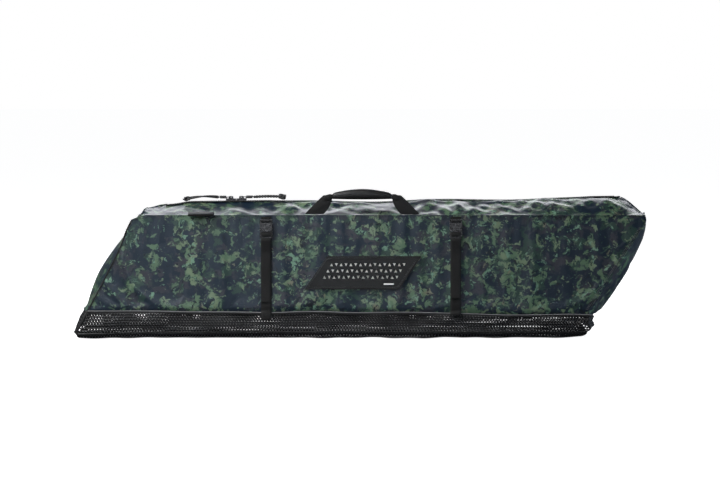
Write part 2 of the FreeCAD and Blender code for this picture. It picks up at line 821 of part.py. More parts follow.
def make_handle_grip():
    """Moulded grip, thickest in the middle and flat underneath, with a slot for the webbing."""
    body = new_body("handle_grip")
    middle = "((grip_right - grip_left)/2)"
    slices = []
    for part_way in (-1, -0.6, 0, 0.6, 1):
        size = f"(1 - (1 - grip_end)*({part_way})^2)"
        at = f"{middle} + ({part_way})*(grip_right + grip_left)/2"
        slices.append(grip_slice(body, at, f"({size}*grip_tall)", f"({size}*grip_wide)"))
    loft(body, slices).Ruled = True
    slot = new_sketch(body, "YZ_Plane")
    half = "(handle_thick/2 + grip_clear)"
    outline(slot, box_corners(f"-bag_depth/2 - {half}", "core_low - grip_clear",
                              f"-bag_depth/2 + {half}", "core_high + grip_clear"))
    cut(body, slot)


def grip_slice(body, at, tall, wide):
    """Rounded section of the grip, standing on its flat underside."""
    drawing = new_sketch(body, "YZ_Plane", at)
    left = f"(-bag_depth/2 - {wide}/2)"
    right = f"(-bag_depth/2 + {wide}/2)"
    high = f"(grip_low + {tall})"
    radius = f"({tall}*grip_edge)"
    return outline(drawing, [(left, "grip_low", f"{tall}*0.3"), (right, "grip_low", f"{tall}*0.3"),
                             (right, high, radius), (left, high, radius)])


# ---------------------------------------------------------------- straps and buckles

def panel_face(height):
    """Distance of the front panel's outer face from the middle plane, above the full bulge."""
    slope = "(wall_bulge/(seam_height - seam_gap - bulge_high))"
    return f"(bag_depth/2 + wall_bulge - {slope}*(({height}) - bulge_high))"


def low_face(height):
    """The same below the full bulge."""
    return f"(bag_depth/2 + wall_bulge*(({height}) - mesh_height)/(bulge_low - mesh_height))"


def strip(run, thickness):
    """Corners of a strip of even thickness whose back follows a run of (distance, height)."""
    back = [(f"-({distance})", height) for distance, height in run]
    front = [(f"-({distance}) - {thickness}", height) for distance, height in reversed(run)]
    return back + front


def make_strap(side_name, strap_x):
    """Compression webbing: up the front panel, through the buckle's base and folded over its bar."""
    body = new_body(f"{side_name}_strap")
    gap = "sheet_gap"
    turn = "(bar_high + bar_clear)"
    fold_face = "(buckle_back + buckle_thick - base_inset + bar_clear)"
    foot_face = f"({low_face('strap_foot')} + {gap})"
    full_face = f"(bag_depth/2 + wall_bulge + {gap})"
    back_face = f"({panel_face('base_low')} + {gap})"
    thick = "webbing_thick"
    drawing = new_sketch(body, "YZ_Plane")
    outline(drawing, [
        (f"-{foot_face}", "strap_foot"), (f"-{full_face}", "bulge_low"),
        (f"-{full_face}", "bulge_high"), (f"-{back_face}", "base_low"),
        (f"-{back_face}", f"{turn} + {thick}"), (f"-{fold_face} - {thick}", f"{turn} + {thick}"),
        (f"-{fold_face} - {thick}", "base_low + bar_clear"), (f"-{fold_face}", "base_low + bar_clear"),
        (f"-{fold_face}", turn), (f"-{back_face} - {thick}", turn),
        (f"-{back_face} - {thick}", "base_low"), (f"-{full_face} - {thick}", "bulge_high"),
        (f"-{full_face} - {thick}", "bulge_low"), (f"-{foot_face} - {thick}", "strap_foot")])
    pad(body, drawing, "webbing_width", symmetric=True)
    place(body, x=strap_x)


def make_strap_tail(side_name, strap_x, end):
    """Loose end of the webbing, hanging over the strap."""
    body = new_body(f"{side_name}_strap_tail")
    over = "(webbing_thick + sheet_gap*2)"
    top_face = "(buckle_back + buckle_thick - base_inset + bar_clear)"
    full_face = f"(bag_depth/2 + wall_bulge + {over})"
    end_face = f"({low_face(end)} + {over})"
    drawing = new_sketch(body, "YZ_Plane")
    outline(drawing, strip([(top_face, "tail_top"), (full_face, "bulge_high"),
                            (full_face, "bulge_low"), (end_face, end)], "webbing_thick"))
    pad(body, drawing, "webbing_width", symmetric=True)
    place(body, x=strap_x)


def make_strap_anchor(side_name, strap_x):
    """Short webbing from the seam, folded round the top bar of the buckle's housing."""
    body = new_body(f"{side_name}_strap_anchor")
    back = f"({panel_face('slot_low')} + sheet_gap*2)"
    fold = "(buckle_back + buckle_thick + 0.3)"
    low = "(slot_low + 0.5)"
    thick = "webbing_thick"
    drawing = new_sketch(body, "YZ_Plane")
    outline(drawing, [
        (f"-{back}", "seam_height - seam_gap"), (f"-{back}", low),
        (f"-{fold} - {thick}", low), (f"-{fold} - {thick}", "housing_high - 1"),
        (f"-{fold}", "housing_high - 1"), (f"-{fold}", f"{low} + {thick}"),
        (f"-{back} - {thick}", f"{low} + {thick}"),
        (f"-{back} - {thick}", "seam_height - seam_gap")])
    pad(body, drawing, "webbing_width", symmetric=True)
    place(body, x=strap_x)


def make_buckle_housing(side_name, strap_x):
    """Female half: open below, with a window on each side and a webbing slot above."""
    body = new_body(f"{side_name}_buckle_housing")
    half = "(buckle_wide/2)"
    front = "(buckle_back + buckle_thick)"
    shell = new_sketch(body, "XZ_Plane", "buckle_back")
    outline(shell, [(f"-{half}", "housing_low"), (half, "housing_low"),
                    (half, "housing_high", "buckle_wall"), (f"-{half}", "housing_high",
                                                            "buckle_wall")])
    pad(body, shell, "buckle_thick")
    cavity = new_sketch(body, "XZ_Plane", f"{front} - buckle_wall")
    inner = f"({half} - buckle_wall)"
    outline(cavity, box_corners(f"-{inner}", "housing_low - 1", inner, "cavity_high"))
    cut(body, cavity, "buckle_thick - 2*buckle_wall")
    windows = new_sketch(body, "YZ_Plane")
    outline(windows, box_corners(f"-{front} + buckle_wall", "window_low",
                                 "-buckle_back - buckle_wall", "window_high"))
    cut(body, windows)
    slot = new_sketch(body, "XZ_Plane")
    reach = "(webbing_width/2 + slot_clear)"
    outline(slot, box_corners(f"-{reach}", "slot_low", reach, "slot_high"))
    cut(body, slot)
    place(body, x=strap_x)


def make_buckle_base(side_name, strap_x):
    """Male half: a ladder of bars for the webbing and a guide tongue between the prongs."""
    body = new_body(f"{side_name}_buckle_base")
    half = "(buckle_wide/2)"
    reach = "(webbing_width/2 + slot_clear)"
    plate = new_sketch(body, "XZ_Plane", "buckle_back + base_inset")
    outline(plate, box_corners(f"-{half}", "base_low", half, "base_high"))
    for low in ("bar_low", "bar_high"):
        outline(plate, box_corners(f"-{reach}", low, reach, f"{low} + bar_slot"))
    pad(body, plate, "buckle_thick - 2*base_inset")
    guide = new_sketch(body, "XZ_Plane", "buckle_back + base_inset")
    outline(guide, box_corners("-guide_half", "base_high - guide_root",
                               "guide_half", "prong_high - guide_short"))
    pad(body, guide, "buckle_thick - 2*base_inset")
    place(body, x=strap_x)


def make_prong(side_name, strap_x, name, side):
    """Spring arm whose hook shows in the housing's window."""
    body = new_body(f"{side_name}_buckle_{name}")
    drawing = new_sketch(body, "XZ_Plane", "buckle_back + base_inset + 0.2")
    outline(drawing, [
        (f"{side}*prong_inner", "prong_root"), (f"{side}*prong_outer", "prong_root"),
        (f"{side}*prong_outer", "hook_low"), (f"{side}*prong_hook", "hook_low"),
        (f"{side}*prong_hook", "hook_high"), (f"{side}*prong_outer", "prong_high"),
        (f"{side}*prong_inner", "prong_high")])
    pad(body, drawing, "buckle_thick - 2*base_inset - bar_clear")
    place(body, x=strap_x)


def make_grab_tab():
    """Folded webbing tab that stands out from the front seam."""
    body = new_body("grab_tab")
    drawing = new_sketch(body, "YZ_Plane")
    outline(drawing, box_corners("-grab_reach", "-grab_thick/2", "-grab_root", "grab_thick/2"))
    pad(body, drawing, "grab_wide", symmetric=True)
    body.Placement = Placement(Vector(0, 0, 0), Rotation(Vector(-1, 0, 0), number("grab_tilt")))
    body.setExpression("Placement.Rotation.Axis.x", "-1")
    body.setExpression("Placement.Rotation.Axis.y", "0")
    body.setExpression("Placement.Rotation.Axis.z", "0")
    body.setExpression("Placement.Rotation.Angle", named("grab_tilt*1deg"))
    place(body, "grab_middle", "-bag_depth/2", "seam_height")


# ---------------------------------------------------------------- whole bag

def make_all():
    make_front_panel()
    make_wall_panel("back_panel", 1)
    make_vent_patch()
    make_end_panels()
    make_mesh_ends()
    make_mesh_wall("front_mesh_wall", -1)
    make_mesh_wall("back_mesh_wall", 1)
    make_mesh_floor()
    make_piping("front_piping", -1)
    make_piping("back_piping", 1)
    make_hem_tape("front_hem_tape", -1)
    make_hem_tape("back_hem_tape", 1)
    make_flaps()
    make_top_caps()
    make_zip_tape("zip_tape_front", -1)
    make_zip_tape("zip_tape_back", 1)
    first_tooth = "(-zip_left + tooth_inset)"
    make_zip_teeth("zip_teeth_front", -1, first_tooth)
    make_zip_teeth("zip_teeth_back", 1, f"({first_tooth} + tooth_pitch/2)")
    make_zip_end_stops()
    for side_name, outward in (("left", -1), ("right", 1)):
        make_slider(f"{side_name}_slider", outward)
        make_pull_tab(f"{side_name}_pull_tab", outward)
        make_pull_cord(f"{side_name}_pull_cord", outward, f"{side_name}_cord")
        strap_x = f"{side_name}_strap"
        make_strap(side_name, strap_x)
        make_strap_tail(side_name, strap_x, f"{side_name}_tail_end")
        make_strap_anchor(side_name, strap_x)
        make_buckle_housing(side_name, strap_x)
        make_buckle_base(side_name, strap_x)
        make_prong(side_name, strap_x, "outer_prong", outward)
        make_prong(side_name, strap_x, "inner_prong", -outward)
    make_handle_webbing()
    make_handle_grip()
    make_grab_tab()


def export_all():
    doc.recompute()
    for item in doc.Objects:
        if "Invalid" in item.State or "Error" in item.State:
            raise RuntimeError(f"{item.Name} failed: {item.State}")
    os.makedirs("parts", exist_ok=True)
    for item in subparts:
        if item.Shape.isNull() or not item.Shape.isValid():
            raise RuntimeError(f"{item.Label} has no valid shape")
        item.Shape.exportStep(f"parts/{item.Label}.step")


make_all()
export_all()
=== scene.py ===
import math

import bmesh
import bpy
import numpy as np
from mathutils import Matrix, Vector
from mathutils.bvhtree import BVHTree


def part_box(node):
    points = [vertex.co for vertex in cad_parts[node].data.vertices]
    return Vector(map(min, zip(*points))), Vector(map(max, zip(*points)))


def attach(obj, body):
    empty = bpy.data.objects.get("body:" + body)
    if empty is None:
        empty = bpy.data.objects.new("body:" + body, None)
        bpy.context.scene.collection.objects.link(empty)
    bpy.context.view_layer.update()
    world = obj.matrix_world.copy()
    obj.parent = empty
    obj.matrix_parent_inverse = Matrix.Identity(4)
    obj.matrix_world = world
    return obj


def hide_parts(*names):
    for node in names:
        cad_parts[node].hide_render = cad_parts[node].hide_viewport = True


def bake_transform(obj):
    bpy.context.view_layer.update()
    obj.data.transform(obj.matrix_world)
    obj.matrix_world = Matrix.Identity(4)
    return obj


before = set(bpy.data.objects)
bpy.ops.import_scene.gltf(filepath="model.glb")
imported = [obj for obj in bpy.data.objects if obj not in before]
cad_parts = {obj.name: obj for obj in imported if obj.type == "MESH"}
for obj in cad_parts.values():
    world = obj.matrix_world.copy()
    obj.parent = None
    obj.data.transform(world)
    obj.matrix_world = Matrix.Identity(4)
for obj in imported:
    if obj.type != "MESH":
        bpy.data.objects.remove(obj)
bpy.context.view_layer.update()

scene = bpy.context.scene


# ------------------------------------------------------------------ sizes, read from the frame

def seam_ends(node, side):
    """Lowest and highest point (x, z) of an end sheet's outer corner, next to the front seam."""
    co = np.array([v.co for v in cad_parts[node].data.vertices])
    corner = co[co[:, 1] < co[:, 1].min() + 0.0005]
    low = corner[corner[:, 2] < corner[:, 2].min() + 0.0005]
    high = corner[corner[:, 2] > corner[:, 2].max() - 0.0005]
    outer = np.argmax if side > 0 else np.argmin
    return low[outer(low[:, 0])], high[outer(high[:, 0])]


def straight(points):
    """x as a function of z on the line through two points."""
    (low, high) = points
    slope = (high[0] - low[0])/(high[2] - low[2])
    return lambda z: low[0] + slope*(z - low[2])


PIPING_LOW, PIPING_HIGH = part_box("front_piping")
HALF_DEPTH = -(PIPING_LOW.y + PIPING_HIGH.y)/2
CORD = (PIPING_HIGH.y - PIPING_LOW.y)/2
TOP_Z = PIPING_HIGH.z - CORD
LOW_Z = PIPING_LOW.z + CORD
HEM_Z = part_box("front_mesh_wall")[1].z
BULGE = -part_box("front_panel")[0].y - HALF_DEPTH
ZIP_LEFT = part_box("front_flap")[0].x
ZIP_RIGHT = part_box("front_flap")[1].x
LIP = -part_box("front_flap")[1].y
CREST_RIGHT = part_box("front_flap")[1].z
CREST_LEFT = max(v.co.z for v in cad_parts["front_flap"].data.vertices
                 if v.co.x < ZIP_LEFT + 0.001)
left_line = straight(seam_ends("left_end_panel", -1))
right_line = straight(seam_ends("right_end_panel", 1))
right_mesh_line = straight(seam_ends("right_mesh_end", 1))
CLOTH = 0.0011             # thickness of the coated fabric that is shown


def smooth(t):
    t = np.clip(t, 0, 1)
    return t*t*(3 - 2*t)


def bell(x, middle, width):
    return np.exp(-((x - middle)/width)**2)


def waves(a, b, length, seed, count=7):
    """Smooth irregular ripples between about -1 and 1 over two coordinates, in metres."""
    rng = np.random.default_rng(seed)
    total = 0
    for _ in range(count):
        angle = rng.uniform(0, 2*math.pi)
        pace = 2*math.pi/(length*rng.uniform(0.6, 1.6))
        phase = rng.uniform(0, 2*math.pi)
        total = total + np.sin(pace*(a*math.cos(angle) + b*math.sin(angle)) + phase)
    return total/math.sqrt(count*2)


# ------------------------------------------------------------------ shape of the shell

CORNER_ROUND = 0.022       # height over which the upper right corner turns in
CORNER_CUT = 0.012
SEAM_IN = 0.010            # at the hem the right seams sit this far inside the panel's edge
SHOULDER = -0.444          # from here to the left the top seam falls
TIP_SHARE = 0.6            # height of the crest at the left tip, as a share of its full height
TOP_BOW = {-1: -0.025, 1: 0.004}   # how far the top edge of each end bows outward


def left_edge(z):
    """The left seams: they flare towards the foot and sit inside the bulging end panel."""
    flare = 0.006*np.sin(math.pi*np.clip(z/0.2, 0, 1))
    inside = 0.002 + 0.010*np.sin(math.pi*np.clip(z/0.235, 0, 1))
    return left_line(z) - flare + inside


def right_edge(z):
    corner = np.clip((z - (TOP_Z - CORNER_ROUND))/CORNER_ROUND, 0, 1)
    above_hem = right_line(z) - CORNER_CUT*corner**2 - SEAM_IN*(TOP_Z - z)/(TOP_Z - HEM_Z)
    foot = np.clip((0.03 - z)/0.03, 0, 1)
    crumple = 0.0025*np.sin(z*300)*np.clip((HEM_Z - z)/0.01, 0, 1)
    in_mesh = right_mesh_line(z) - SEAM_IN*0.8 - 0.012*foot**1.5 + crumple
    return np.where(z > HEM_Z, above_hem, in_mesh)


def hem_height(x):
    """The seam between fabric and mesh wanders a little."""
    return HEM_Z + 0.003*bell(x, -0.5, 0.15) - 0.006*bell(x, 0.34, 0.14) - 0.005*bell(x, 0.5, 0.05) + 0.0012*waves(x, 0*x, 0.2, 3)


def top_seam(x):
    """Height of the seam between wall and top: it falls towards the left corner."""
    return TOP_Z - 0.012*np.clip((SHOULDER - x)/0.034, 0, 1)**1.4


def low_seam(x):
    """Height of the lower piping."""
    return (LOW_Z + 0.0025 + 0.002*waves(x, 0*x, 0.25, 5) - 0.008*bell(x, -0.6, 0.09)
            + 0.002*smooth((x - 0.4)/0.08))


def crest(x):
    """Height of the top along the middle: the zip's line, falling to the seams past its ends."""
    along = (x - ZIP_LEFT)/(ZIP_RIGHT - ZIP_LEFT)
    line = CREST_LEFT + (CREST_RIGHT - CREST_LEFT)*along
    left = np.clip((x - LEFT_TIP)/(ZIP_LEFT - 0.008 - LEFT_TIP), 0, 1)
    right = np.clip((RIGHT_TIP - x)/(RIGHT_TIP - ZIP_RIGHT + 0.009), 0, 1)
    left_rise = TIP_SHARE + (1 - TIP_SHARE)*np.sin(left*math.pi/2)**1.4
    ends = left_rise*np.sin(right*math.pi/2)**1.2
    dips = (-0.005*bell(x, 0.03, 0.1) - 0.0045*bell(x, 0.31, 0.1)
            - 0.0055*smooth((-0.35 - x)/0.05))
    return TOP_Z + (line + dips - TOP_Z)*ends


LEFT_TIP = float(left_edge(TOP_Z))
RIGHT_TIP = float(right_edge(np.array(TOP_Z)))


def strap_middle(side_name):
    low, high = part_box(f"{side_name}_strap")
    return (low.x + high.x)/2


HANDLE_LOW, HANDLE_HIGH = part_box("handle_webbing")
LEG_WIDTH = 0.039
PULLS = [strap_middle("left"), strap_middle("right"),      # where the top seam is pulled
         HANDLE_LOW.x + LEG_WIDTH/2, HANDLE_HIGH.x - LEG_WIDTH/2]


def fan_folds(along, away, reach):
    """Folds that fan out from the places where straps and handle pull at the top seam."""
    total = 0
    for number, middle in enumerate(PULLS):
        angle = np.arctan2(away, along - middle)
        far = np.hypot(away, along - middle)
        strength = far/(far + 0.02)*np.exp(-(far/reach)**2)
        total = total + strength*np.cos(angle*(7 + number % 2) + 1.3*number)
    return total


def wall_point(side):
    """Front (side -1) or back (side 1) fabric wall over u along the bag and v up."""
    def point(u, v):
        z = HEM_Z + v*(TOP_Z - HEM_Z)
        left = left_edge(z)
        x = left + u*(right_edge(z) - left)
        z = z + (hem_height(x) - HEM_Z)*(1 - v) + (top_seam(x) - TOP_Z)*v
        rise = np.clip(1 - (2*v - 1)**4, 0, 1)*np.clip(1 - (2*u - 1)**12, 0, 1)
        ripple = 0.0013*waves(x, z, 0.16, 11 + side)*rise
        fold = 0.0012*fan_folds(x, TOP_Z - z, 0.07)*rise if side < 0 else 0
        y = side*(HALF_DEPTH + BULGE*0.75*rise + ripple + fold)
        return np.stack([x, y, z], -1)
    return point


def top_point(side):
    """Half of the top between a seam and the zip, u along the bag and v from the seam up."""
    def point(u, v):
        x = LEFT_TIP + u*(RIGHT_TIP - LEFT_TIP)
        open_here = smooth((x - ZIP_LEFT + 0.004)/0.008)*smooth((ZIP_RIGHT + 0.004 - x)/0.008)
        inner = LIP*open_here
        across = HALF_DEPTH + v*(inner - HALF_DEPTH)
        arch = 1 - (across/HALF_DEPTH)**2
        puff = 0.004*bell(x, 0.46, 0.1)*np.sin(math.pi*v)
        sag = -0.005*np.sin(math.pi*v)*bell(x, -0.3, 0.2)
        hide = 0.0012 + 0.0022*smooth((x + 0.16)/0.05)*smooth((0.44 - x)/0.05)
        lip = hide*(1 + 0.5*waves(x, 0*x, 0.06, 27))*np.exp(-((across - LIP - 0.012)/0.009)**2)
        lip = lip*open_here
        edge = top_seam(x)
        z = edge + (crest(x) - edge)*arch**1.15 + puff + sag + lip
        free = np.sin(math.pi*np.clip(v, 0, 1))
        if side < 0:
            z = z + free**0.5*0.0034*fan_folds(x, HALF_DEPTH - across, 0.1)
        busy = 0.0012 + 0.0012*smooth((x - 0.15)/0.1)
        broad = 0.003 + 0.0015*smooth((-0.2 - x)/0.1)
        z = z + free*(broad*waves(x, across*0.5, 0.075, 21 + side)
                      + busy*waves(x, across, 0.03, 23 + side))
        shape = 1 - np.abs(across/HALF_DEPTH)**2.4
        x = (x + TOP_BOW[1]*shape*bell(x, RIGHT_TIP, 0.03)
             - TOP_BOW[-1]*shape*bell(x, LEFT_TIP, 0.05))
        return np.stack([x, side*across, z], -1)
    return point


def end_point(side, bows):
    """Bowed end panel, u from front to back and v up; bows are at its foot and middle."""
    edge = left_edge if side < 0 else right_edge
    tip = LEFT_TIP if side < 0 else RIGHT_TIP
    corner = float(top_seam(tip))
    summit = float(crest(np.array(tip)))

    def point(u, v):
        z = HEM_Z + v*(TOP_Z - HEM_Z)
        y = HALF_DEPTH*(2*u - 1)
        bow = bows[0]*(1 - v)*(1 - 2*v) + 4*bows[1]*v*(1 - v) + TOP_BOW[side]*v*(2*v - 1)
        top = corner + (summit - corner)*(1 - (2*u - 1)**2)**1.15
        shape = 1 - np.abs(2*u - 1)**2.4
        ripple = 0.0022*waves(y, z, 0.1, 31 + side)*shape*np.sin(math.pi*v)
        x = edge(z) + side*(bow*shape + ripple)
        z = z + (hem_height(edge(z)) - HEM_Z)*(1 - v) + (top - TOP_Z)*v
        return np.stack([x, y, z], -1)
    return point


# ------------------------------------------------------------------ mesh helpers

def new_object(name, vertices, faces):
    mesh = bpy.data.meshes.new(name)
    mesh.from_pydata([tuple(p) for p in vertices], [], faces)
    mesh.polygons.foreach_set("use_smooth", [True]*len(mesh.polygons))
    mesh.update()
    obj = bpy.data.objects.new(name, mesh)
    scene.collection.objects.link(obj)
    return obj


def sheet(name, columns, rows, point, flip=False):
    """Grid of quads over u and v."""
    u, v = np.meshgrid(np.linspace(0, 1, columns + 1), np.linspace(0, 1, rows + 1), indexing="ij")
    vertices = point(u.ravel(), v.ravel())
    faces = []
    for i in range(columns):
        for j in range(rows):
            a = i*(rows + 1) + j
            face = (a, a + rows + 1, a + rows + 2, a + 1)
            faces.append(face[::-1] if flip else face)
    return new_object(name, vertices, faces)


def lattice(name, columns, rows, point, hole=0.49, flip=False):
    """Net: each cell of the grid has an eight-sided hole that takes the given share of it."""
    corner_u, corner_v = np.meshgrid(np.arange(columns + 1), np.arange(rows + 1), indexing="ij")
    corners = point(corner_u.ravel()/columns, corner_v.ravel()/rows)
    edge, cut = (1 - hole)/2, (1 - hole)/2 + hole*0.28
    ring = [(cut, edge), (1 - cut, edge), (1 - edge, cut), (1 - edge, 1 - cut),
            (1 - cut, 1 - edge), (cut, 1 - edge), (edge, 1 - cut), (edge, cut)]
    cell_u, cell_v = np.meshgrid(np.arange(columns), np.arange(rows), indexing="ij")
    cell_u, cell_v = cell_u.ravel(), cell_v.ravel()
    rings = [point((cell_u + a)/columns, (cell_v + b)/rows) for a, b in ring]
    vertices = np.concatenate([corners] + rings)
    first = len(corners)
    cells = columns*rows
    faces = []
    for k in range(cells):
        i, j = divmod(k, rows)
        c = (i*(rows + 1) + j, (i + 1)*(rows + 1) + j, (i + 1)*(rows + 1) + j + 1,
             i*(rows + 1) + j + 1)
        r = [first + n*cells + k for n in range(8)]
        new = [(c[0], c[1], r[1], r[0]), (c[1], r[2], r[1]), (c[1], c[2], r[3], r[2]),
               (c[2], r[4], r[3]), (c[2], c[3], r[5], r[4]), (c[3], r[6], r[5]),
               (c[3], c[0], r[7], r[6]), (c[0], r[0], r[7])]
        faces += [f[::-1] for f in new] if flip else new
    net = new_object(name, vertices, faces)
    cell = [np.stack([corner_u.ravel(), corner_v.ravel()], -1)]
    cell += [np.stack([cell_u + a, cell_v + b], -1) for a, b in ring]
    cell = np.concatenate(cell)
    store(net, "cell", np.concatenate([cell, 0*cell[:, :1]], 1))
    return net


def tube(name, path, radius, sides=10, closed=False):
    """Round cord along a path of points; radius may be a number or one value per point."""
    path = np.asarray(path, float)
    count = len(path)
    radii = np.broadcast_to(radius, count)
    if closed:
        tangent = np.roll(path, -1, 0) - np.roll(path, 1, 0)
    else:
        tangent = np.gradient(path, axis=0)
    tangent = tangent/np.linalg.norm(tangent, axis=1)[:, None]
    normal = np.cross(tangent[0], [0.31, 0.87, 0.37])
    vertices = []
    for k in range(count):
        normal = normal - tangent[k]*np.dot(normal, tangent[k])
        normal = normal/np.linalg.norm(normal)
        across = np.cross(tangent[k], normal)
        for s in range(sides):
            angle = 2*math.pi*s/sides
            vertices.append(path[k] + radii[k]*(normal*math.cos(angle) + across*math.sin(angle)))
    faces = []
    for k in range(count if closed else count - 1):
        n = (k + 1) % count
        for s in range(sides):
            t = (s + 1) % sides
            faces.append((k*sides + s, k*sides + t, n*sides + t, n*sides + s))
    if not closed:
        faces.append(tuple(range(sides))[::-1])
        faces.append(tuple((count - 1)*sides + s for s in range(sides)))
    return new_object(name, vertices, faces)


def ribbon(name, path, sideways, width, thickness, cuts=5):
    """Flat webbing with rounded edges along a path; sideways is its width direction."""
    path = np.asarray(path, float)
    count = len(path)
    sideways = np.broadcast_to(np.asarray(sideways, float), (count, 3))
    widths = np.broadcast_to(width, count)
    tangent = np.gradient(path, axis=0)
    tangent = tangent/np.linalg.norm(tangent, axis=1)[:, None]
    outline = []
    half = thickness/2
    for a in np.linspace(-1, 1, cuts):
        outline.append((a, 1))
    for a in np.linspace(1, -1, cuts):
        outline.append((a, -1))
    vertices, along, length = [], [], 0
    for k in range(count):
        if k:
            length += float(np.linalg.norm(path[k] - path[k - 1]))
        side = sideways[k] - tangent[k]*np.dot(sideways[k], tangent[k])
        side = side/np.linalg.norm(side)
        normal = np.cross(side, tangent[k])
        for a, b in outline:
            edge = abs(a) > 0.999
            reach = a*widths[k]/2*(1 if not edge else 1)
            lift = b*half*(0.45 if edge else 1)
            vertices.append(path[k] + side*reach + normal*lift)
            along.append((a*widths[k]/2, length, b))
    ring = len(outline)
    faces = []
    for k in range(count - 1):
        for s in range(ring):
            t = (s + 1) % ring
            faces.append((k*ring + s, k*ring + t, (k + 1)*ring + t, (k + 1)*ring + s))
    faces.append(tuple(range(ring))[::-1])
    faces.append(tuple((count - 1)*ring + s for s in range(ring)))
    obj = new_object(name, vertices, faces)
    store(obj, "weave", along)
    return obj


def store(obj, name, values):
    attribute = obj.data.attributes.new(name, "FLOAT_VECTOR", "POINT")
    attribute.data.foreach_set("vector", np.asarray(values, np.float32).ravel())


def remember_rest(obj):
    """Keep every vertex's place at rest, so that patterns stay on the fabric as it moves."""
    co = np.zeros(len(obj.data.vertices)*3, np.float32)
    obj.data.vertices.foreach_get("co", co)
    attribute = obj.data.attributes.get("rest") or obj.data.attributes.new(
        "rest", "FLOAT_VECTOR", "POINT")
    attribute.data.foreach_set("vector", co)


def thicken(obj, thickness, offset=-1.0):
    modifier = obj.modifiers.new("thickness", "SOLIDIFY")
    modifier.thickness = thickness
    modifier.offset = offset
    return modifier


def refine(obj, levels=1):
    modifier = obj.modifiers.new("refine", "SUBSURF")
    modifier.levels = levels
    modifier.render_levels = levels
    return modifier


def dress(obj, material, body=None, stands_for=()):
    """Finish a piece: its material, the body it rides on and the nodes it replaces."""
    obj.data.materials.clear()
    obj.data.materials.append(material)
    if "rest" not in obj.data.attributes:
        remember_rest(obj)
    if body:
        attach(obj, body)
    if stands_for:
        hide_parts(*stands_for)
    return obj


# ------------------------------------------------------------------ materials

class Material:
    """Short way to write a node material."""

    def __init__(self, name):
        self.data = bpy.data.materials.new(name)
        self.data.use_nodes = True
        self.tree = self.data.node_tree
        self.shader = self.tree.nodes["Principled BSDF"]
        self.rest = self.attribute("rest")

    def node(self, kind, inputs=None, **settings):
        node = self.tree.nodes.new("ShaderNode" + kind)
        for key, value in settings.items():
            setattr(node, key, value)
        for key, value in (inputs or {}).items():
            self.connect(value, node.inputs[key])
        return node

    def connect(self, value, socket):
        if isinstance(value, bpy.types.NodeSocket):
            self.tree.links.new(value, socket)
        else:
            socket.default_value = value

    def attribute(self, name):
        return self.node("Attribute", attribute_name=name).outputs["Vector"]

    def noise(self, scale, detail=2.0, rough=0.5, vector=None, distortion=0.0):
        return self.node("TexNoise", {"Vector": vector or self.rest, "Scale": scale,
                                      "Detail": detail, "Roughness": rough,
                                      "Distortion": distortion}).outputs["Fac"]

    def math(self, kind, a, b=0.0):
        return self.node("Math", {0: a, 1: b}, operation=kind).outputs[0]

    def step(self, value, edge, soft=0.01):
        """0 below the edge and 1 above it."""
        return self.node("MapRange", {"Value": value, "From Min": edge - soft,
                                      "From Max": edge + soft}).outputs["Result"]

    def mix(self, amount, a, b):
        node = self.node("Mix", {"Factor": amount}, data_type="RGBA")
        self.connect(a, node.inputs[6])
        self.connect(b, node.inputs[7])
        return node.outputs[2]

    def bump(self, height, distance, strength=1.0, normal=None):
        inputs = {"Height": height, "Distance": distance, "Strength": strength}
        if normal is not None:
            inputs["Normal"] = normal
        return self.node("Bump", inputs).outputs["Normal"]

    def set(self, **values):
        names = {"color": "Base Color", "rough": "Roughness", "metal": "Metallic",
                 "normal": "Normal", "coat": "Coat Weight", "coat_rough": "Coat Roughness",
                 "sheen": "Sheen Weight", "specular": "Specular IOR Level"}
        for key, value in values.items():
            self.connect(value, self.shader.inputs[names[key]])
        return self.data


def rgb(r, g, b):
    return (r, g, b, 1.0)


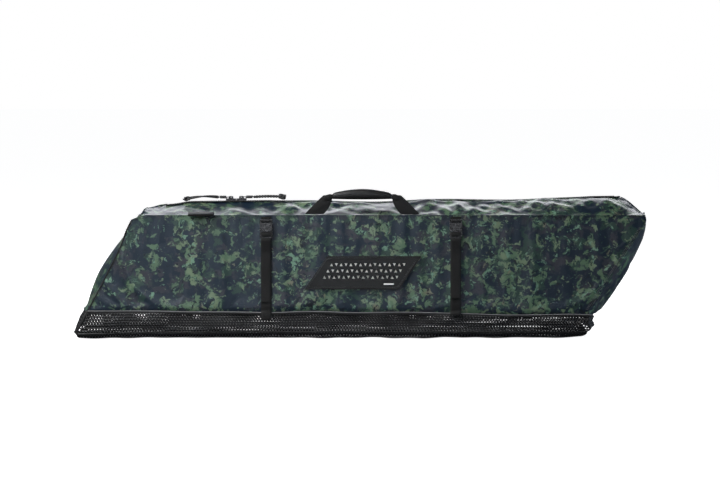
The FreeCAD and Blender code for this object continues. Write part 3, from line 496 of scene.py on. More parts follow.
def camo_material():
    """Coated fabric printed with leafy blotches, satin and slightly creased."""
    m = Material("camo_coated_fabric")
    warp = m.node("TexNoise", {"Vector": m.rest, "Scale": 38.0, "Detail": 3.0}).outputs["Color"]
    shift = m.node("VectorMath", {0: warp, 1: (0.5, 0.5, 0.5)}, operation="SUBTRACT").outputs[0]
    shift = m.node("VectorMath", {0: shift, "Scale": 0.035}, operation="SCALE").outputs[0]
    place = m.node("VectorMath", {0: m.rest, 1: shift}, operation="ADD").outputs[0]

    patches = m.math("SUBTRACT", m.noise(13.0, 2.0), 0.5)
    cluster = m.math("MULTIPLY", patches, 0.34)

    def layer(offset, scale, edge):
        moved = m.node("VectorMath", {0: place, 1: offset}, operation="ADD").outputs[0]
        value = m.math("ADD", m.noise(scale, 3.0, 0.6, moved), cluster)
        return m.step(value, edge, 0.03)

    navy, twig = rgb(0.0030, 0.0092, 0.0190), rgb(0.0018, 0.0040, 0.0075)
    color = m.mix(layer((3.1, 0, 0), 26.0, 0.53), navy, rgb(0.0190, 0.0200, 0.0280))
    color = m.mix(layer((0, 5.7, 0), 33.0, 0.55), color, rgb(0.0130, 0.0310, 0.0250))
    color = m.mix(layer((0, 0, 7.3), 41.0, 0.585), color, rgb(0.0590, 0.1040, 0.0610))
    color = m.mix(layer((9.2, 1.0, 0), 52.0, 0.61), color, rgb(0.0950, 0.1370, 0.0810))
    color = m.mix(layer((2.6, 4.4, 1.0), 68.0, 0.64), color, rgb(0.0930, 0.1760, 0.1190))
    color = m.mix(layer((0, 8.1, 2.0), 56.0, 0.685), color, rgb(0.1150, 0.1150, 0.0800))
    color = m.mix(layer((4.4, 2.2, 6.0), 52.0, 0.6), color, navy)
    color = m.mix(layer((7.4, 6.2, 3.0), 95.0, 0.64), color, twig)
    # Faint bluish-grey painted sheen, mixed into the print in slow noise patches; it stands in for the
    # hazy reflection on the satin fabric
    haze = m.math("MULTIPLY", m.noise(7.0, 2.0), 0.1)
    color = m.mix(haze, color, rgb(0.045, 0.058, 0.075))
    weave = m.node("TexWave", {"Vector": m.rest, "Scale": 420.0, "Distortion": 0.6},
                   bands_direction="X").outputs["Fac"]
    weave_up = m.node("TexWave", {"Vector": m.rest, "Scale": 420.0, "Distortion": 0.6},
                      bands_direction="Z").outputs["Fac"]
    grain = m.math("ADD", m.math("MULTIPLY", m.math("ADD", weave, weave_up), 0.5),
                   m.noise(900.0, 2.0))
    creases = m.noise(55.0, 4.0, 0.55, distortion=0.6)
    normal = m.bump(creases, 0.0018, 0.5)
    normal = m.bump(grain, 0.00006, 0.6, normal)
    rough = m.node("MapRange", {"Value": m.noise(24.0, 4.0), "To Min": 0.36, "To Max": 0.52})
    return m.set(color=color, rough=rough.outputs["Result"], normal=normal, specular=0.3)


def lining_material():
    """Pale backing of the coated fabric."""
    m = Material("pale_lining")
    color = m.mix(m.noise(60.0, 4.0), rgb(0.78, 0.77, 0.70), rgb(0.92, 0.91, 0.85))
    return m.set(color=color, rough=0.8, normal=m.bump(m.noise(700.0, 2.0), 0.0001, 0.6))


def net_material():
    m = Material("black_coated_net")
    split = m.node("SeparateXYZ", {"Vector": m.attribute("cell")})
    turn_u = m.math("COSINE", m.math("MULTIPLY", split.outputs["X"], 2*math.pi))
    turn_v = m.math("COSINE", m.math("MULTIPLY", split.outputs["Y"], 2*math.pi))
    # Painted highlights on the knots where the threads cross, in random clusters
    knot = m.step(m.math("ADD", turn_u, turn_v), 1.25, 0.35)
    knot = m.math("MULTIPLY", knot, m.step(m.noise(28.0, 3.0), 0.47, 0.14))
    color = m.mix(m.noise(200.0, 3.0), rgb(0.002, 0.002, 0.003), rgb(0.007, 0.007, 0.008))
    # Below 11 mm the knots are painted much brighter, a painted reflection of the floor on the lower
    # band
    height = m.node("SeparateXYZ", {"Vector": m.rest}).outputs["Z"]
    above_floor = m.step(height, 0.011, 0.003)
    painted_knot_highlight = m.mix(above_floor, rgb(0.30, 0.30, 0.31), rgb(0.085, 0.084, 0.083))
    color = m.mix(knot, color, painted_knot_highlight)
    normal = m.bump(m.noise(700.0, 2.0), 0.0005, 0.8)
    return m.set(color=color, rough=0.42, normal=normal, specular=0.22)


def webbing_material(name, dark=0.0075, light=0.016):
    """Woven nylon: rows of ribs along the webbing, offset from column to column."""
    m = Material(name)
    place = m.attribute("weave")
    split = m.node("SeparateXYZ", {"Vector": place})
    across, along = split.outputs["X"], split.outputs["Y"]
    rib = m.math("SINE", m.math("MULTIPLY", across, 2*math.pi/0.0016))
    pick = m.math("SINE", m.math("ADD", m.math("MULTIPLY", along, 2*math.pi/0.0019),
                                 m.math("MULTIPLY", rib, 1.2)))
    height = m.math("ADD", m.math("MULTIPLY", pick, 0.6), m.math("MULTIPLY", rib, 0.4))
    shade = m.node("MapRange", {"Value": height, "From Min": -1.0, "From Max": 1.0})
    color = m.mix(shade.outputs["Result"], rgb(dark*0.6, dark*0.6, dark*0.63),
                  rgb(light, light, light*1.04))
    fuzz = m.noise(2500.0, 2.0)
    normal = m.bump(height, 0.00018, 0.8)
    normal = m.bump(fuzz, 0.00008, 0.6, normal)
    return m.set(color=color, rough=0.75, normal=normal, sheen=0.04,
                 specular=0.25)


def moulded_material(name, base, rough=0.45, grain=0.00008):
    """Moulded black rubber or plastic with a fine eroded grain and duller worn spots."""
    m = Material(name)
    wear = m.noise(70.0, 4.0)
    color = m.mix(wear, rgb(base*0.7, base*0.7, base*0.73), rgb(base*1.25, base*1.25, base*1.3))
    rough_map = m.node("MapRange", {"Value": m.noise(160.0, 3.0), "To Min": rough - 0.08,
                                    "To Max": rough + 0.1})
    normal = m.bump(m.noise(2200.0, 3.0), grain, 0.7)
    return m.set(color=color, rough=rough_map.outputs["Result"], normal=normal,
                 specular=0.3)


def metal_material():
    m = Material("black_coated_metal")
    wear = m.step(m.noise(420.0, 4.0), 0.68, 0.05)
    color = m.mix(wear, rgb(0.012, 0.012, 0.013), rgb(0.06, 0.06, 0.062))
    return m.set(color=color, rough=0.34, metal=0.5, normal=m.bump(m.noise(1500.0), 0.00005, 0.5))


def cord_material():
    """Braided cord: two sets of slanting bands."""
    m = Material("braided_cord")
    a = m.node("TexWave", {"Vector": m.rest, "Scale": 300.0, "Distortion": 1.0},
               bands_direction="DIAGONAL").outputs["Fac"]
    b = m.node("TexWave", {"Vector": m.rest, "Scale": 240.0, "Distortion": 1.0},
               bands_direction="X").outputs["Fac"]
    height = m.math("MULTIPLY", a, b)
    color = m.mix(height, rgb(0.005, 0.005, 0.006), rgb(0.03, 0.03, 0.031))
    return m.set(color=color, rough=0.7, normal=m.bump(height, 0.0003, 0.9), sheen=0.2)


def plain_white_material():
    m = Material("white_print")
    color = m.mix(m.noise(300.0, 3.0), rgb(0.7, 0.7, 0.7), rgb(0.85, 0.85, 0.84))
    return m.set(color=color, rough=0.5)


CAMO = camo_material()
LINING = lining_material()
NET = net_material()
WEBBING = webbing_material("black_webbing", 0.0024, 0.0062)
# Pale copy of the webbing: a painted highlight for the lit top of the grab tab
TAB_WEBBING_PAINTED_HIGHLIGHT = webbing_material("tab_webbing_painted_highlight", 0.05, 0.13)
TAPE = webbing_material("zip_tape", 0.005, 0.012)
RUBBER = moulded_material("moulded_rubber", 0.0045, 0.45)
PLASTIC = moulded_material("buckle_plastic", 0.006, 0.27)
TEETH = moulded_material("zip_teeth", 0.035, 0.3)
# Pale colour for the fold along the hem: a painted highlight on the edge
HEM_HIGHLIGHT = moulded_material("hem_fold_painted_highlight", 0.16, 0.55)
WELT = moulded_material("seam_welt", 0.009, 0.5, 0.00015)
METAL = metal_material()
BRAID = cord_material()
WHITE = plain_white_material()
BEAD = moulded_material("moulded_bead", 0.014, 0.4)
PALE_THREAD = moulded_material("pale_thread", 0.16, 0.7)
DARK_THREAD = moulded_material("dark_thread", 0.02, 0.7)


# ------------------------------------------------------------------ cloth

def drape(obj, pinned, grow, push, frames, limit):
    """Let a sheet settle as cloth that is a little too large for its pinned edges."""
    start = np.array([v.co for v in obj.data.vertices])
    group = obj.vertex_groups.new(name="pinned")
    group.add([int(i) for i in np.flatnonzero(pinned)], 1.0, "REPLACE")
    cloth = obj.modifiers.new("drape", "CLOTH")
    settings = cloth.settings
    settings.quality = 6
    settings.mass = 0.2
    settings.tension_stiffness = 30
    settings.compression_stiffness = 30
    settings.shear_stiffness = 12
    settings.bending_stiffness = 1.5
    settings.vertex_group_mass = "pinned"
    settings.shrink_min = -grow
    settings.shrink_max = -grow
    settings.use_pressure = True
    settings.uniform_pressure_force = push
    cloth.collision_settings.use_collision = False
    cloth.point_cache.frame_start = 1
    cloth.point_cache.frame_end = frames
    for number in range(1, frames + 1):
        scene.frame_set(number)
    graph = bpy.context.evaluated_depsgraph_get()
    settled = obj.evaluated_get(graph).to_mesh()
    moved = np.array([v.co for v in settled.vertices])
    obj.evaluated_get(graph).to_mesh_clear()
    obj.modifiers.remove(cloth)
    scene.frame_set(1)
    shift = moved - start
    length = np.linalg.norm(shift, axis=1)
    shift = shift*(limit*np.tanh(length/limit)/np.maximum(length, 1e-9))[:, None]
    obj.data.vertices.foreach_set("co", (start + shift).astype(np.float32).ravel())
    obj.data.update()


def border(columns, rows, edge=0):
    """Which vertices of a sheet lie on its border."""
    u, v = np.meshgrid(np.arange(columns + 1), np.arange(rows + 1), indexing="ij")
    return ((u <= edge) | (u >= columns - edge) | (v <= edge) | (v >= rows - edge)).ravel()


# ------------------------------------------------------------------ shell pieces

def make_walls():
    columns, rows = 210, 38
    for name, side, node in (("front_wall", -1, "front_panel"), ("back_wall", 1, "back_panel")):
        wall = sheet(name, columns, rows, wall_point(side), flip=side > 0)
        drape(wall, border(columns, rows), 0.01, 0.5, 16, 0.005)
        refine(wall)
        thicken(wall, CLOTH)
        dress(wall, CAMO, "bag", [node])


def make_ends():
    columns, rows = 40, 40
    for name, side, node, bows in (("left_end", -1, "left_end_panel", (0.014, 0.024)),
                                   ("right_end", 1, "right_end_panel", (0.024, 0.028))):
        end = sheet(name, columns, rows, end_point(side, bows), flip=side < 0)
        drape(end, border(columns, rows), 0.02, 0.5, 18, 0.008)
        refine(end)
        thicken(end, CLOTH)
        dress(end, CAMO, "bag", [node])


def make_top():
    columns, rows = 260, 22
    for name, side, nodes in (("front_top", -1, ["front_flap", "left_top_cap"]),
                              ("back_top", 1, ["back_flap", "right_top_cap"])):
        top = sheet(name, columns, rows, top_point(side), flip=side > 0)
        drape(top, border(columns, rows), 0.014, 0.02, 16, 0.004)
        remember_rest(top)
        refine(top)
        thicken(top, CLOTH)
        dress(top, CAMO, stands_for=nodes)
        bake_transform(top)


# ------------------------------------------------------------------ mesh tray

NET_PITCH_X = 0.0061
NET_PITCH_Z = 0.0052
RIGHT_FOOT = float(right_edge(np.array(LOW_Z)))


def net_wall_point(side):
    def point(u, v):
        z = LOW_Z + v*(HEM_Z - LOW_Z)
        left = left_edge(z)
        x = left + u*(right_edge(z) - left)
        z = low_seam(x) + v*(hem_height(x) - low_seam(x))
        free = np.sin(math.pi*v)
        puff = 0.0035*free*waves(x, z, 0.12, 41 + side)
        crush = smooth((x - 0.42)/0.05)*smooth((RIGHT_FOOT - x)/0.012)
        puff = puff - 0.0045*free**0.6*crush*waves(x, 0.6*z, 0.026, 43 + side)
        lift = 0.003*free*crush*waves(x, z, 0.03, 45)
        if side > 0:
            x = x + 0.0015*free*waves(x, z, 0.035, 46)
            lift = 0.0015*free*waves(x, z, 0.03, 47)
        return np.stack([x, side*(HALF_DEPTH + 0.001 + puff), z + lift], -1)
    return point


def net_end_point(side):
    edge = left_edge if side < 0 else right_edge

    def point(u, v):
        z = LOW_Z + v*(HEM_Z - LOW_Z)
        y = HALF_DEPTH*(2*u - 1)
        shape = 1 - np.abs(2*u - 1)**2.4
        bow = 0.011 if side < 0 else 0.009
        crumple = (0.003 if side < 0 else 0.0065)*waves(y, z, 0.03, 51 + side)*np.sin(math.pi*v)
        x = edge(z) + side*(bow*shape + crumple*shape)
        x_edge = edge(z)
        z = low_seam(x_edge) + v*(hem_height(x_edge) - low_seam(x_edge))
        return np.stack([x, y, z], -1)
    return point


def net_floor_point(u, v):
    """Floor with all four edges turned up to the lower seam."""
    y = HALF_DEPTH*(2*v - 1)
    left = left_edge(LOW_Z)
    right = RIGHT_FOOT
    x = left + u*(right - left)
    turn = 0.016 - 0.009*smooth((-0.5 - x)/0.06)
    rim_y = np.clip((np.abs(y) - (HALF_DEPTH - turn))/turn, 0, 1)
    rim_x = np.clip(np.maximum(left + turn - x, x - right + turn)/turn, 0, 1)
    rim = np.clip(np.maximum(rim_y, rim_x), 0, 1)
    rise = 1 - np.sqrt(np.clip(1 - rim**2, 0, 1))
    flat = 0.0012 + 0.0012*(1 + waves(x, y, 0.11, 61)) + 0.0045*smooth((x - 0.4)/0.08)
    return np.stack([x, y, flat + (low_seam(x) - flat)*rise], -1)


def make_net():
    length = RIGHT_FOOT - left_edge(LOW_Z)
    columns = int(length/NET_PITCH_X)
    wall_rows = int((HEM_Z - LOW_Z)/NET_PITCH_Z)
    deep = int(2*HALF_DEPTH/NET_PITCH_X)
    for name, point, count, rows, flip, node in (
            ("front_net", net_wall_point(-1), columns, wall_rows, False, "front_mesh_wall"),
            ("back_net", net_wall_point(1), columns, wall_rows, True, "back_mesh_wall"),
            ("left_net", net_end_point(-1), deep, wall_rows, True, "left_mesh_end"),
            ("right_net", net_end_point(1), deep, wall_rows, False, "right_mesh_end"),
            ("floor_net", net_floor_point, columns, deep, True, "mesh_floor")):
        hole = {"back_net": 0.36, "right_net": 0.3}.get(name, 0.47)
        net = lattice(name, count, rows, point, hole, flip)
        thicken(net, 0.0002 if name == "floor_net" else 0.0009, 0.0)
        dress(net, NET, "bag", [node])


# ------------------------------------------------------------------ seams

def upper_seam(side):
    """Along the top from corner to corner and down the right edge to the hem."""
    y = side*HALF_DEPTH
    points = [(x, y, float(top_seam(x)) + 0.0004)
              for x in np.linspace(LEFT_TIP, RIGHT_TIP - 0.003, 240)]
    points += [(float(right_edge(np.array(z))), y, z) for z in np.linspace(TOP_Z - 0.002, HEM_Z, 60)]
    return points


def lower_seam(side):
    """Down the left edge, along the foot and up to the hem on the right."""
    y = side*HALF_DEPTH
    fall = float(top_seam(LEFT_TIP)) - TOP_Z
    points = [(float(left_edge(z)), y, z + fall*(z - LOW_Z)/(TOP_Z - LOW_Z))
              for z in np.linspace(TOP_Z - 0.001, LOW_Z + 0.004, 60)]
    for x in np.linspace(float(left_edge(LOW_Z)) + 0.002, RIGHT_FOOT - 0.003, 260):
        points.append((x, y, float(low_seam(np.array(x)))))
    for z in np.linspace(LOW_Z + 0.006, HEM_Z, 24):
        points.append((float(right_edge(np.array(z))), y, z))
    return points


def end_seam(side):
    """Across the top edge of an end, from the front corner to the back one."""
    v = np.linspace(0, 1, 40)
    u = np.full(40, 0.0 if side < 0 else 1.0)
    front = top_point(-1)(u, v)
    back = top_point(1)(u, v)[::-1]
    return np.concatenate([front, back[1:]])


def middle_seam(side):
    """Where both halves of the top meet, between an end and the zip."""
    zip_end = ZIP_LEFT - 0.002 if side < 0 else ZIP_RIGHT + 0.002
    u = np.linspace(0.0 if side < 0 else 1.0, (zip_end - LEFT_TIP)/(RIGHT_TIP - LEFT_TIP), 24)
    path = top_point(-1)(u, np.ones(24))
    path[:, 1] = 0
    return path


def make_seams():
    for name, side in (("left", -1), ("right", 1)):
        dress(tube(f"{name}_end_seam", end_seam(side), 0.0014, 8), CAMO, "bag")
        middle = tube(f"{name}_middle_seam", middle_seam(side), 0.0014, 8)
        dress(middle, CAMO, "bag")
    for name, side in (("front_piping", -1), ("back_piping", 1)):
        fold = tube(name + "_fold", upper_seam(side), 0.0013, 8)
        dress(fold, CAMO, "bag")
        path = lower_seam(side)
        thick = [0.0017 + 0.0011*float(smooth((-0.52 - x)/0.03)*smooth((HEM_Z - z)/0.02))
                 for x, _, z in path]
        cord = tube(name + "_cord", path, thick, 8)
        dress(cord, WELT, "bag", [name])


def hem_path(side, columns=240):
    z = HEM_Z
    for x in np.linspace(float(left_edge(z)) + 0.002, float(right_line(z)) - 0.002, columns):
        yield (x, side*(HALF_DEPTH + 0.0016), float(hem_height(np.array(x))))


def make_hems():
    """Black binding tape over the top of the mesh and a pale fold along the fabric's edge above it, a
    painted highlight on the hem.
    """
    for name, side, node in (("front_hem", -1, "front_hem_tape"), ("back_hem", 1, "back_hem_tape")):
        path = np.array(list(hem_path(side)))
        hem = ribbon(name, path - (0, 0, 0.0026), (0, 0.12*side, 1), 0.0048, 0.0012, cuts=4)
        dress(hem, WELT, "bag", [node])
        edge = tube(name + "_fold", path + (0, side*0.0006, 0.0004), 0.0009, 6)
        dress(edge, HEM_HIGHLIGHT, "bag")


def stitches(name, path, length=0.0024, gap=0.0012, radius=0.00028):
    """Row of short threads that rise a little from the fabric along a path."""
    path = np.asarray(path, float)
    steps = np.linalg.norm(np.diff(path, axis=0), axis=1)
    travelled = np.concatenate([[0], np.cumsum(steps)])
    starts = np.arange(0, travelled[-1] - length, length + gap)
    vertices, faces = [], []
    for start in starts:
        base = len(vertices)
        for share, size in ((0, 0.5), (0.25, 1), (0.75, 1), (1, 0.5)):
            at = start + share*length
            middle = np.array([np.interp(at, travelled, path[:, k]) for k in range(3)])
            ahead = np.array([np.interp(at + 0.0005, travelled, path[:, k]) for k in range(3)])
            forward = ahead - middle
            across = np.cross(forward, (0.1, 1, 0.05))
            across = across/max(np.linalg.norm(across), 1e-9)
            up = np.cross(across, forward)
            up = up/max(np.linalg.norm(up), 1e-9)
            for corner in range(4):
                angle = math.pi/4 + corner*math.pi/2
                reach = radius*size*1.4
                vertices.append(middle + reach*(across*math.cos(angle) + up*math.sin(angle)))
        for ring in range(3):
            for corner in range(4):
                a, b = base + ring*4 + corner, base + ring*4 + (corner + 1) % 4
                faces.append((a, b, b + 4, a + 4))
        faces.append((base + 3, base + 2, base + 1, base))
        faces.append((base + 12, base + 13, base + 14, base + 15))
    return new_object(name, vertices, faces)


VENT_LEAN = 0.047/0.069    # sideways shift of the patch's ends per unit of height
LEG_FOOT = 0.042           # width of a handle leg at the seam
TOP_STITCHES = ((LEFT_TIP + 0.012, HANDLE_LOW.x - 0.002),     # the rows stop under the handle
                (HANDLE_LOW.x + LEG_FOOT, HANDLE_HIGH.x - LEG_FOOT),
                (HANDLE_HIGH.x + 0.002, RIGHT_TIP - 0.02))


def make_seam_stitches():
    for side_name, side in (("front", -1), ("back", 1)):
        surface = wall_surface(side_name, side)
        for number, inset in enumerate((0.0045, 0.0075)):
            path = []
            for z in np.linspace(TOP_Z - 0.024, HEM_Z + 0.004, 80):
                x = float(right_edge(np.array(z))) - inset
                path.append((x, surface(x, z) + side*0.0002, z))
            row = stitches(f"{side_name}_edge_stitch_{number + 1}", path)
            dress(row, PALE_THREAD, "bag")
        for number, (start, end) in enumerate(TOP_STITCHES):
            path = []
            for x in np.linspace(start, end, 120):
                z = float(top_seam(x)) - 0.0045
                path.append((x, surface(x, z) + side*0.0002, z))
            row = stitches(f"{side_name}_top_stitch_{number + 1}", path)
            dress(row, DARK_THREAD, "bag")


# ------------------------------------------------------------------ zip

def zip_height(x):
    """The zip shows at both ends and hides behind the front fabric in between."""
    return crest(x) - 0.0014 + 0.0010*smooth((x - 0.45)/0.04) + 0.0010*smooth((-0.16 - x)/0.04)


STOP_REACH = (0.0005, 0.0012, 0.0035, 0.006, 0.0066)
STOP_WIDTHS = (0.0070, 0.0088, 0.0096, 0.0088, 0.0070)


def make_zip():
    make_end_stops()
    for side_name, side in (("front", -1), ("back", 1)):
        make_zip_tape(side_name, side)
        make_zip_teeth(side_name, side)


def make_end_stops():
    """Moulded stop block with its short tape end, at both ends of the zip."""
    low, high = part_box("zip_end_stops")
    for name, x, inward in (("left", low.x, 1), ("right", high.x, -1)):
        z = float(zip_height(np.array(x + inward*0.004)))
        block = ribbon(f"{name}_end_stop", [(x + inward*reach, 0, z) for reach in STOP_REACH],
                       (0, 1, 0), STOP_WIDTHS, 0.0044)
        dress(block, TEETH, "bag", ["zip_end_stops"] if name == "left" else [])


def make_zip_tape(side_name, side):
    xs = np.linspace(ZIP_LEFT + 0.002, ZIP_RIGHT - 0.002, 240)
    middle = (LIP + 0.004 + 0.0045)/2
    path = [(x, side*middle, float(zip_height(np.array(x)))) for x in xs]
    tape = ribbon(f"zip_tape_{side_name}_weave", path, (0, 1, 0), 0.0135, 0.0008, cuts=4)
    dress(tape, TAPE, stands_for=[f"zip_tape_{side_name}"])
    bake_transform(tape)


def make_zip_teeth(side_name, side):
    """Moulded teeth: a waisted head that sits between its neighbours, and a foot on the tape."""
    low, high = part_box(f"zip_teeth_{side_name}")
    pitch = 0.0048
    count = int((high.x - low.x)/pitch) + 1
    bm = bmesh.new()
    shape = [(-0.0011, 0.0052), (0.0011, 0.0052), (0.0009, 0.0016), (0.00125, 0.0),
             (0.0010, -0.0012), (-0.0010, -0.0012), (-0.00125, 0.0), (-0.0009, 0.0016)]
    tall = 0.0019
    for k in range(count):
        x = low.x + 0.0011 + k*pitch
        z = float(zip_height(np.array(x)))
        layers = []
        for height, shrink in ((-tall, 0.82), (-tall*0.6, 1.0), (tall*0.6, 1.0), (tall, 0.82)):
            layers.append([bm.verts.new((x + a*shrink, side*max(b, -0.0012), z + height))
                           for a, b in shape])
        for lower, upper in zip(layers, layers[1:]):
            for i in range(8):
                j = (i + 1) % 8
                bm.faces.new((lower[i], lower[j], upper[j], upper[i]))
        bm.faces.new(layers[0][::-1])
        bm.faces.new(layers[-1])
    bmesh.ops.recalc_face_normals(bm, faces=bm.faces)
    mesh = bpy.data.meshes.new(f"zip_teeth_{side_name}_row")
    bm.to_mesh(mesh)
    bm.free()
    teeth = bpy.data.objects.new(mesh.name, mesh)
    scene.collection.objects.link(teeth)
    dress(teeth, TEETH, stands_for=[f"zip_teeth_{side_name}"])
    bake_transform(teeth)


# ------------------------------------------------------------------ CAD pieces that stay

def keep_cad(node, material, bevel):
    """A hard CAD piece keeps its shape; its edges are softened and it gets its material."""
    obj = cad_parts[node]
    obj.data.materials.clear()
    obj.data.materials.append(material)
    remember_rest(obj)
    for polygon in obj.data.polygons:
        polygon.use_smooth = False
    modifier = obj.modifiers.new("soft_edges", "BEVEL")
    modifier.width = bevel
    modifier.segments = 2
    modifier.limit_method = "ANGLE"
    modifier.angle_limit = math.radians(35)


def make_hardware():
    for side in ("left", "right"):
        keep_cad(f"{side}_buckle_housing", PLASTIC, 0.0008)
        keep_cad(f"{side}_buckle_base", PLASTIC, 0.0006)
        keep_cad(f"{side}_buckle_inner_prong", PLASTIC, 0.0005)
        keep_cad(f"{side}_buckle_outer_prong", PLASTIC, 0.0005)
        keep_cad(f"{side}_slider", METAL, 0.0005)
        keep_cad(f"{side}_pull_tab", METAL, 0.0003)
    keep_cad("vent_patch", RUBBER, 0.0003)


# ------------------------------------------------------------------ straps

def wall_surface(side_name="front", side=-1):
    """Outer face of a wall at (x, z), found by looking straight at it."""
    graph = bpy.context.evaluated_depsgraph_get()
    tree = BVHTree.FromObject(bpy.data.objects[f"{side_name}_wall"], graph)

    def surface(x, z):
        hit = tree.ray_cast(Vector((x, side*0.5, z)), Vector((0, -side, 0)))[0]
        return hit.y if hit else side*HALF_DEPTH
    return surface


STRAP_FOOT = {"left": 0.042, "right": 0.051}


def make_straps():
    surface = wall_surface()
    for side in ("left", "right"):
        low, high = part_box(f"{side}_strap")
        middle = (low.x + high.x)/2
        width = high.x - low.x
        base_low, base_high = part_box(f"{side}_buckle_base")
        tail_low, tail_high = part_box(f"{side}_strap_tail")
        thick = 0.0014
        foot = STRAP_FOOT[side]
        path, widths = [], []
        for z in np.linspace(foot, base_low.z, 70):
            over_net = smooth((HEM_Z + 0.004 - z)/0.006)
            out = surface(middle, max(z, HEM_Z + 0.004)) - 0.0009 - thick/2
            path.append((middle, float(out - 0.003*over_net), z))
        top = high.z - thick/2
        back = path[-1][1]
        path += [(middle, back, z) for z in np.linspace(base_low.z + 0.003, top - 0.002, 4)]
        front = low.y + thick/2
        path += [(middle, back - 0.0015, top), (middle, (back + front)/2, top + 0.0001),
                 (middle, front + 0.0015, top), (middle, front, top - 0.002),
                 (middle, front, base_low.z + 0.002)]
        strap = ribbon(f"{side}_strap_webbing", path, (1, 0, 0), width, thick)
        dress(strap, WEBBING, "bag", [f"{side}_strap"])
        path = [(middle, tail_low.y + thick/2, tail_high.z)]
        for z in np.linspace(tail_high.z - 0.005, tail_low.z, 50):
            t = smooth((tail_high.z - z)/0.035)
            out = surface(middle, z) - 0.0009 - 1.5*thick - 0.0012
            out = out - 0.0006*math.sin(z*90)
            path.append((middle, float(path[0][1]*(1 - t) + out*t), z))
        tail = ribbon(f"{side}_strap_tail_webbing", path, (1, 0, 0), width*0.985, thick)
        dress(tail, WEBBING, f"{side}_tail", [f"{side}_strap_tail"])
        make_anchor(side, middle, width, thick)


def make_anchor(side, middle, width, thick):
    low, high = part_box(f"{side}_strap_anchor")
    back = high.y - thick/2
    front = low.y + thick/2
    foot = low.z + thick/2
    path = [(middle, back, z) for z in np.linspace(high.z + 0.0015, foot + 0.002, 6)]
    path += [(middle, back - 0.0015, foot), (middle, (back + front)/2, foot),
             (middle, front + 0.0015, foot)]
    path += [(middle, front, z) for z in np.linspace(foot + 0.002, high.z - 0.006, 5)]
    anchor = ribbon(f"{side}_anchor_webbing", path, (1, 0, 0), width, thick)
    dress(anchor, WEBBING, "bag", [f"{side}_strap_anchor"])


# ------------------------------------------------------------------ handle, grab tab and cords

LEG_SHAPE = ((0.2606, 0.0, 0.040), (0.275, 0.0145, 0.0505), (0.288, 0.027, 0.0565),
             (0.2995, 0.0390, 0.056))    # height, then both edges inward from the leg's outer foot


def make_handle():
    """Two legs of wide webbing, folded and stitched where they enter the grip."""
    low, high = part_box("handle_webbing")
    grip_low, grip_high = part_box("handle_grip")
    y = (low.y + high.y)/2
    heights = [h for h, _, _ in LEG_SHAPE]
    outer = [a for _, a, _ in LEG_SHAPE]
    inner = [b for _, _, b in LEG_SHAPE]
    for name, foot, inward, end in (("left", low.x, 1, grip_low.x), ("right", high.x, -1, grip_high.x)):
        def leg(u, v, foot=foot, inward=inward):
            z = heights[0] + v*(heights[-1] - heights[0])
            across = np.interp(z, heights, outer)*(1 - u) + np.interp(z, heights, inner)*u
            bend = 0.0025*np.sin(math.pi*v)*np.cos(math.pi*(u - 0.5))
            return np.stack([foot + inward*across, y - bend + 0*z, z], -1)
        piece = sheet(f"{name}_handle_leg", 10, 14, leg, flip=inward < 0)
        u, v = np.meshgrid(np.linspace(0, 1, 11), np.linspace(0, 1, 15), indexing="ij")
        weave = np.stack([u.ravel()*0.028, v.ravel()*0.05, 0*u.ravel()], -1)
        store(piece, "weave", weave)
        refine(piece)
        thicken(piece, 0.0026, 0.0)
        nodes = ["handle_webbing"] if name == "left" else []
        dress(piece, WEBBING, "handle", nodes)
        make_handle_fold(name, end, inward, y, low)
    make_grip(y, grip_low, grip_high)


def make_handle_fold(name, end, inward, y, low):
    """Bunched, stitched webbing beside the end of the grip."""
    count, sides = 16, 16
    length = 0.021
    rng = np.random.default_rng(7 if inward > 0 else 8)
    lumps = rng.uniform(-1, 1, (count + 1, sides))
    lumps = (lumps + np.roll(lumps, 1, 1) + np.roll(lumps, -1, 1))/3
    vertices = []
    for k in range(count + 1):
        t = k/count
        full = math.sin(math.pi*min(max(t*0.96 + 0.02, 0), 1))**0.35
        tall = 0.0068*full
        wide = 0.0048*full
        x = end + inward*(0.004 - length*t)
        middle_z = 0.2970 - 0.0045*t
        for c in range(sides):
            angle = 2*math.pi*c/sides
            a, b = math.cos(angle), math.sin(angle)
            bump = 1 + 0.1*lumps[k, c]
            vertices.append((x, y + wide*bump*math.copysign(abs(a)**0.7, a),
                             middle_z + tall*bump*math.copysign(abs(b)**0.7, b)))
    faces = []
    for k in range(count):
        for c in range(sides):
            t = (c + 1) % sides
            face = (k*sides + c, (k + 1)*sides + c, (k + 1)*sides + t, k*sides + t)
            faces.append(face if inward < 0 else face[::-1])
    first = tuple(range(sides))
    last = tuple(count*sides + c for c in range(sides))
    faces += [first, last[::-1]] if inward < 0 else [first[::-1], last]
    fold = new_object(f"{name}_handle_fold", vertices, faces)
    store(fold, "weave", np.array(vertices)[:, [0, 2, 1]])
    refine(fold)
    dress(fold, WEBBING, "handle")


def make_grip(y, low, high):
    """Grip with a flat underside, full in the middle, rounded at its ends."""
    count, sides = 28, 20
    vertices = []
    length = high.x - low.x
    for k in range(count + 1):
        t = k/count
        part = 2*t - 1
        size = (1 - 0.47*abs(part)**1.9)*(1 - 0.35*smooth((abs(part) - 0.93)/0.07))
        tall = (high.z - low.z)*size
        wide = (high.y - low.y)*size
        base = low.z + 0.0012*abs(part)**2
        for s in range(sides):
            angle = 2*math.pi*s/sides
            c, d = math.cos(angle), math.sin(angle)
            dy = wide/2*math.copysign(abs(c)**0.8, c)
            dz = tall/2*math.copysign(abs(d)**0.85, d)
            vertices.append((low.x + length*t, y + dy, base + tall/2 + dz))
    faces = []
    for k in range(count):
        for s in range(sides):
            t = (s + 1) % sides
            faces.append((k*sides + s, (k + 1)*sides + s, (k + 1)*sides + t, k*sides + t))
    faces.append(tuple(range(sides)))
    faces.append(tuple(count*sides + s for s in range(sides))[::-1])
    grip = new_object("handle_grip_moulding", vertices, faces)
    refine(grip)
    dress(grip, RUBBER, "handle", ["handle_grip"])


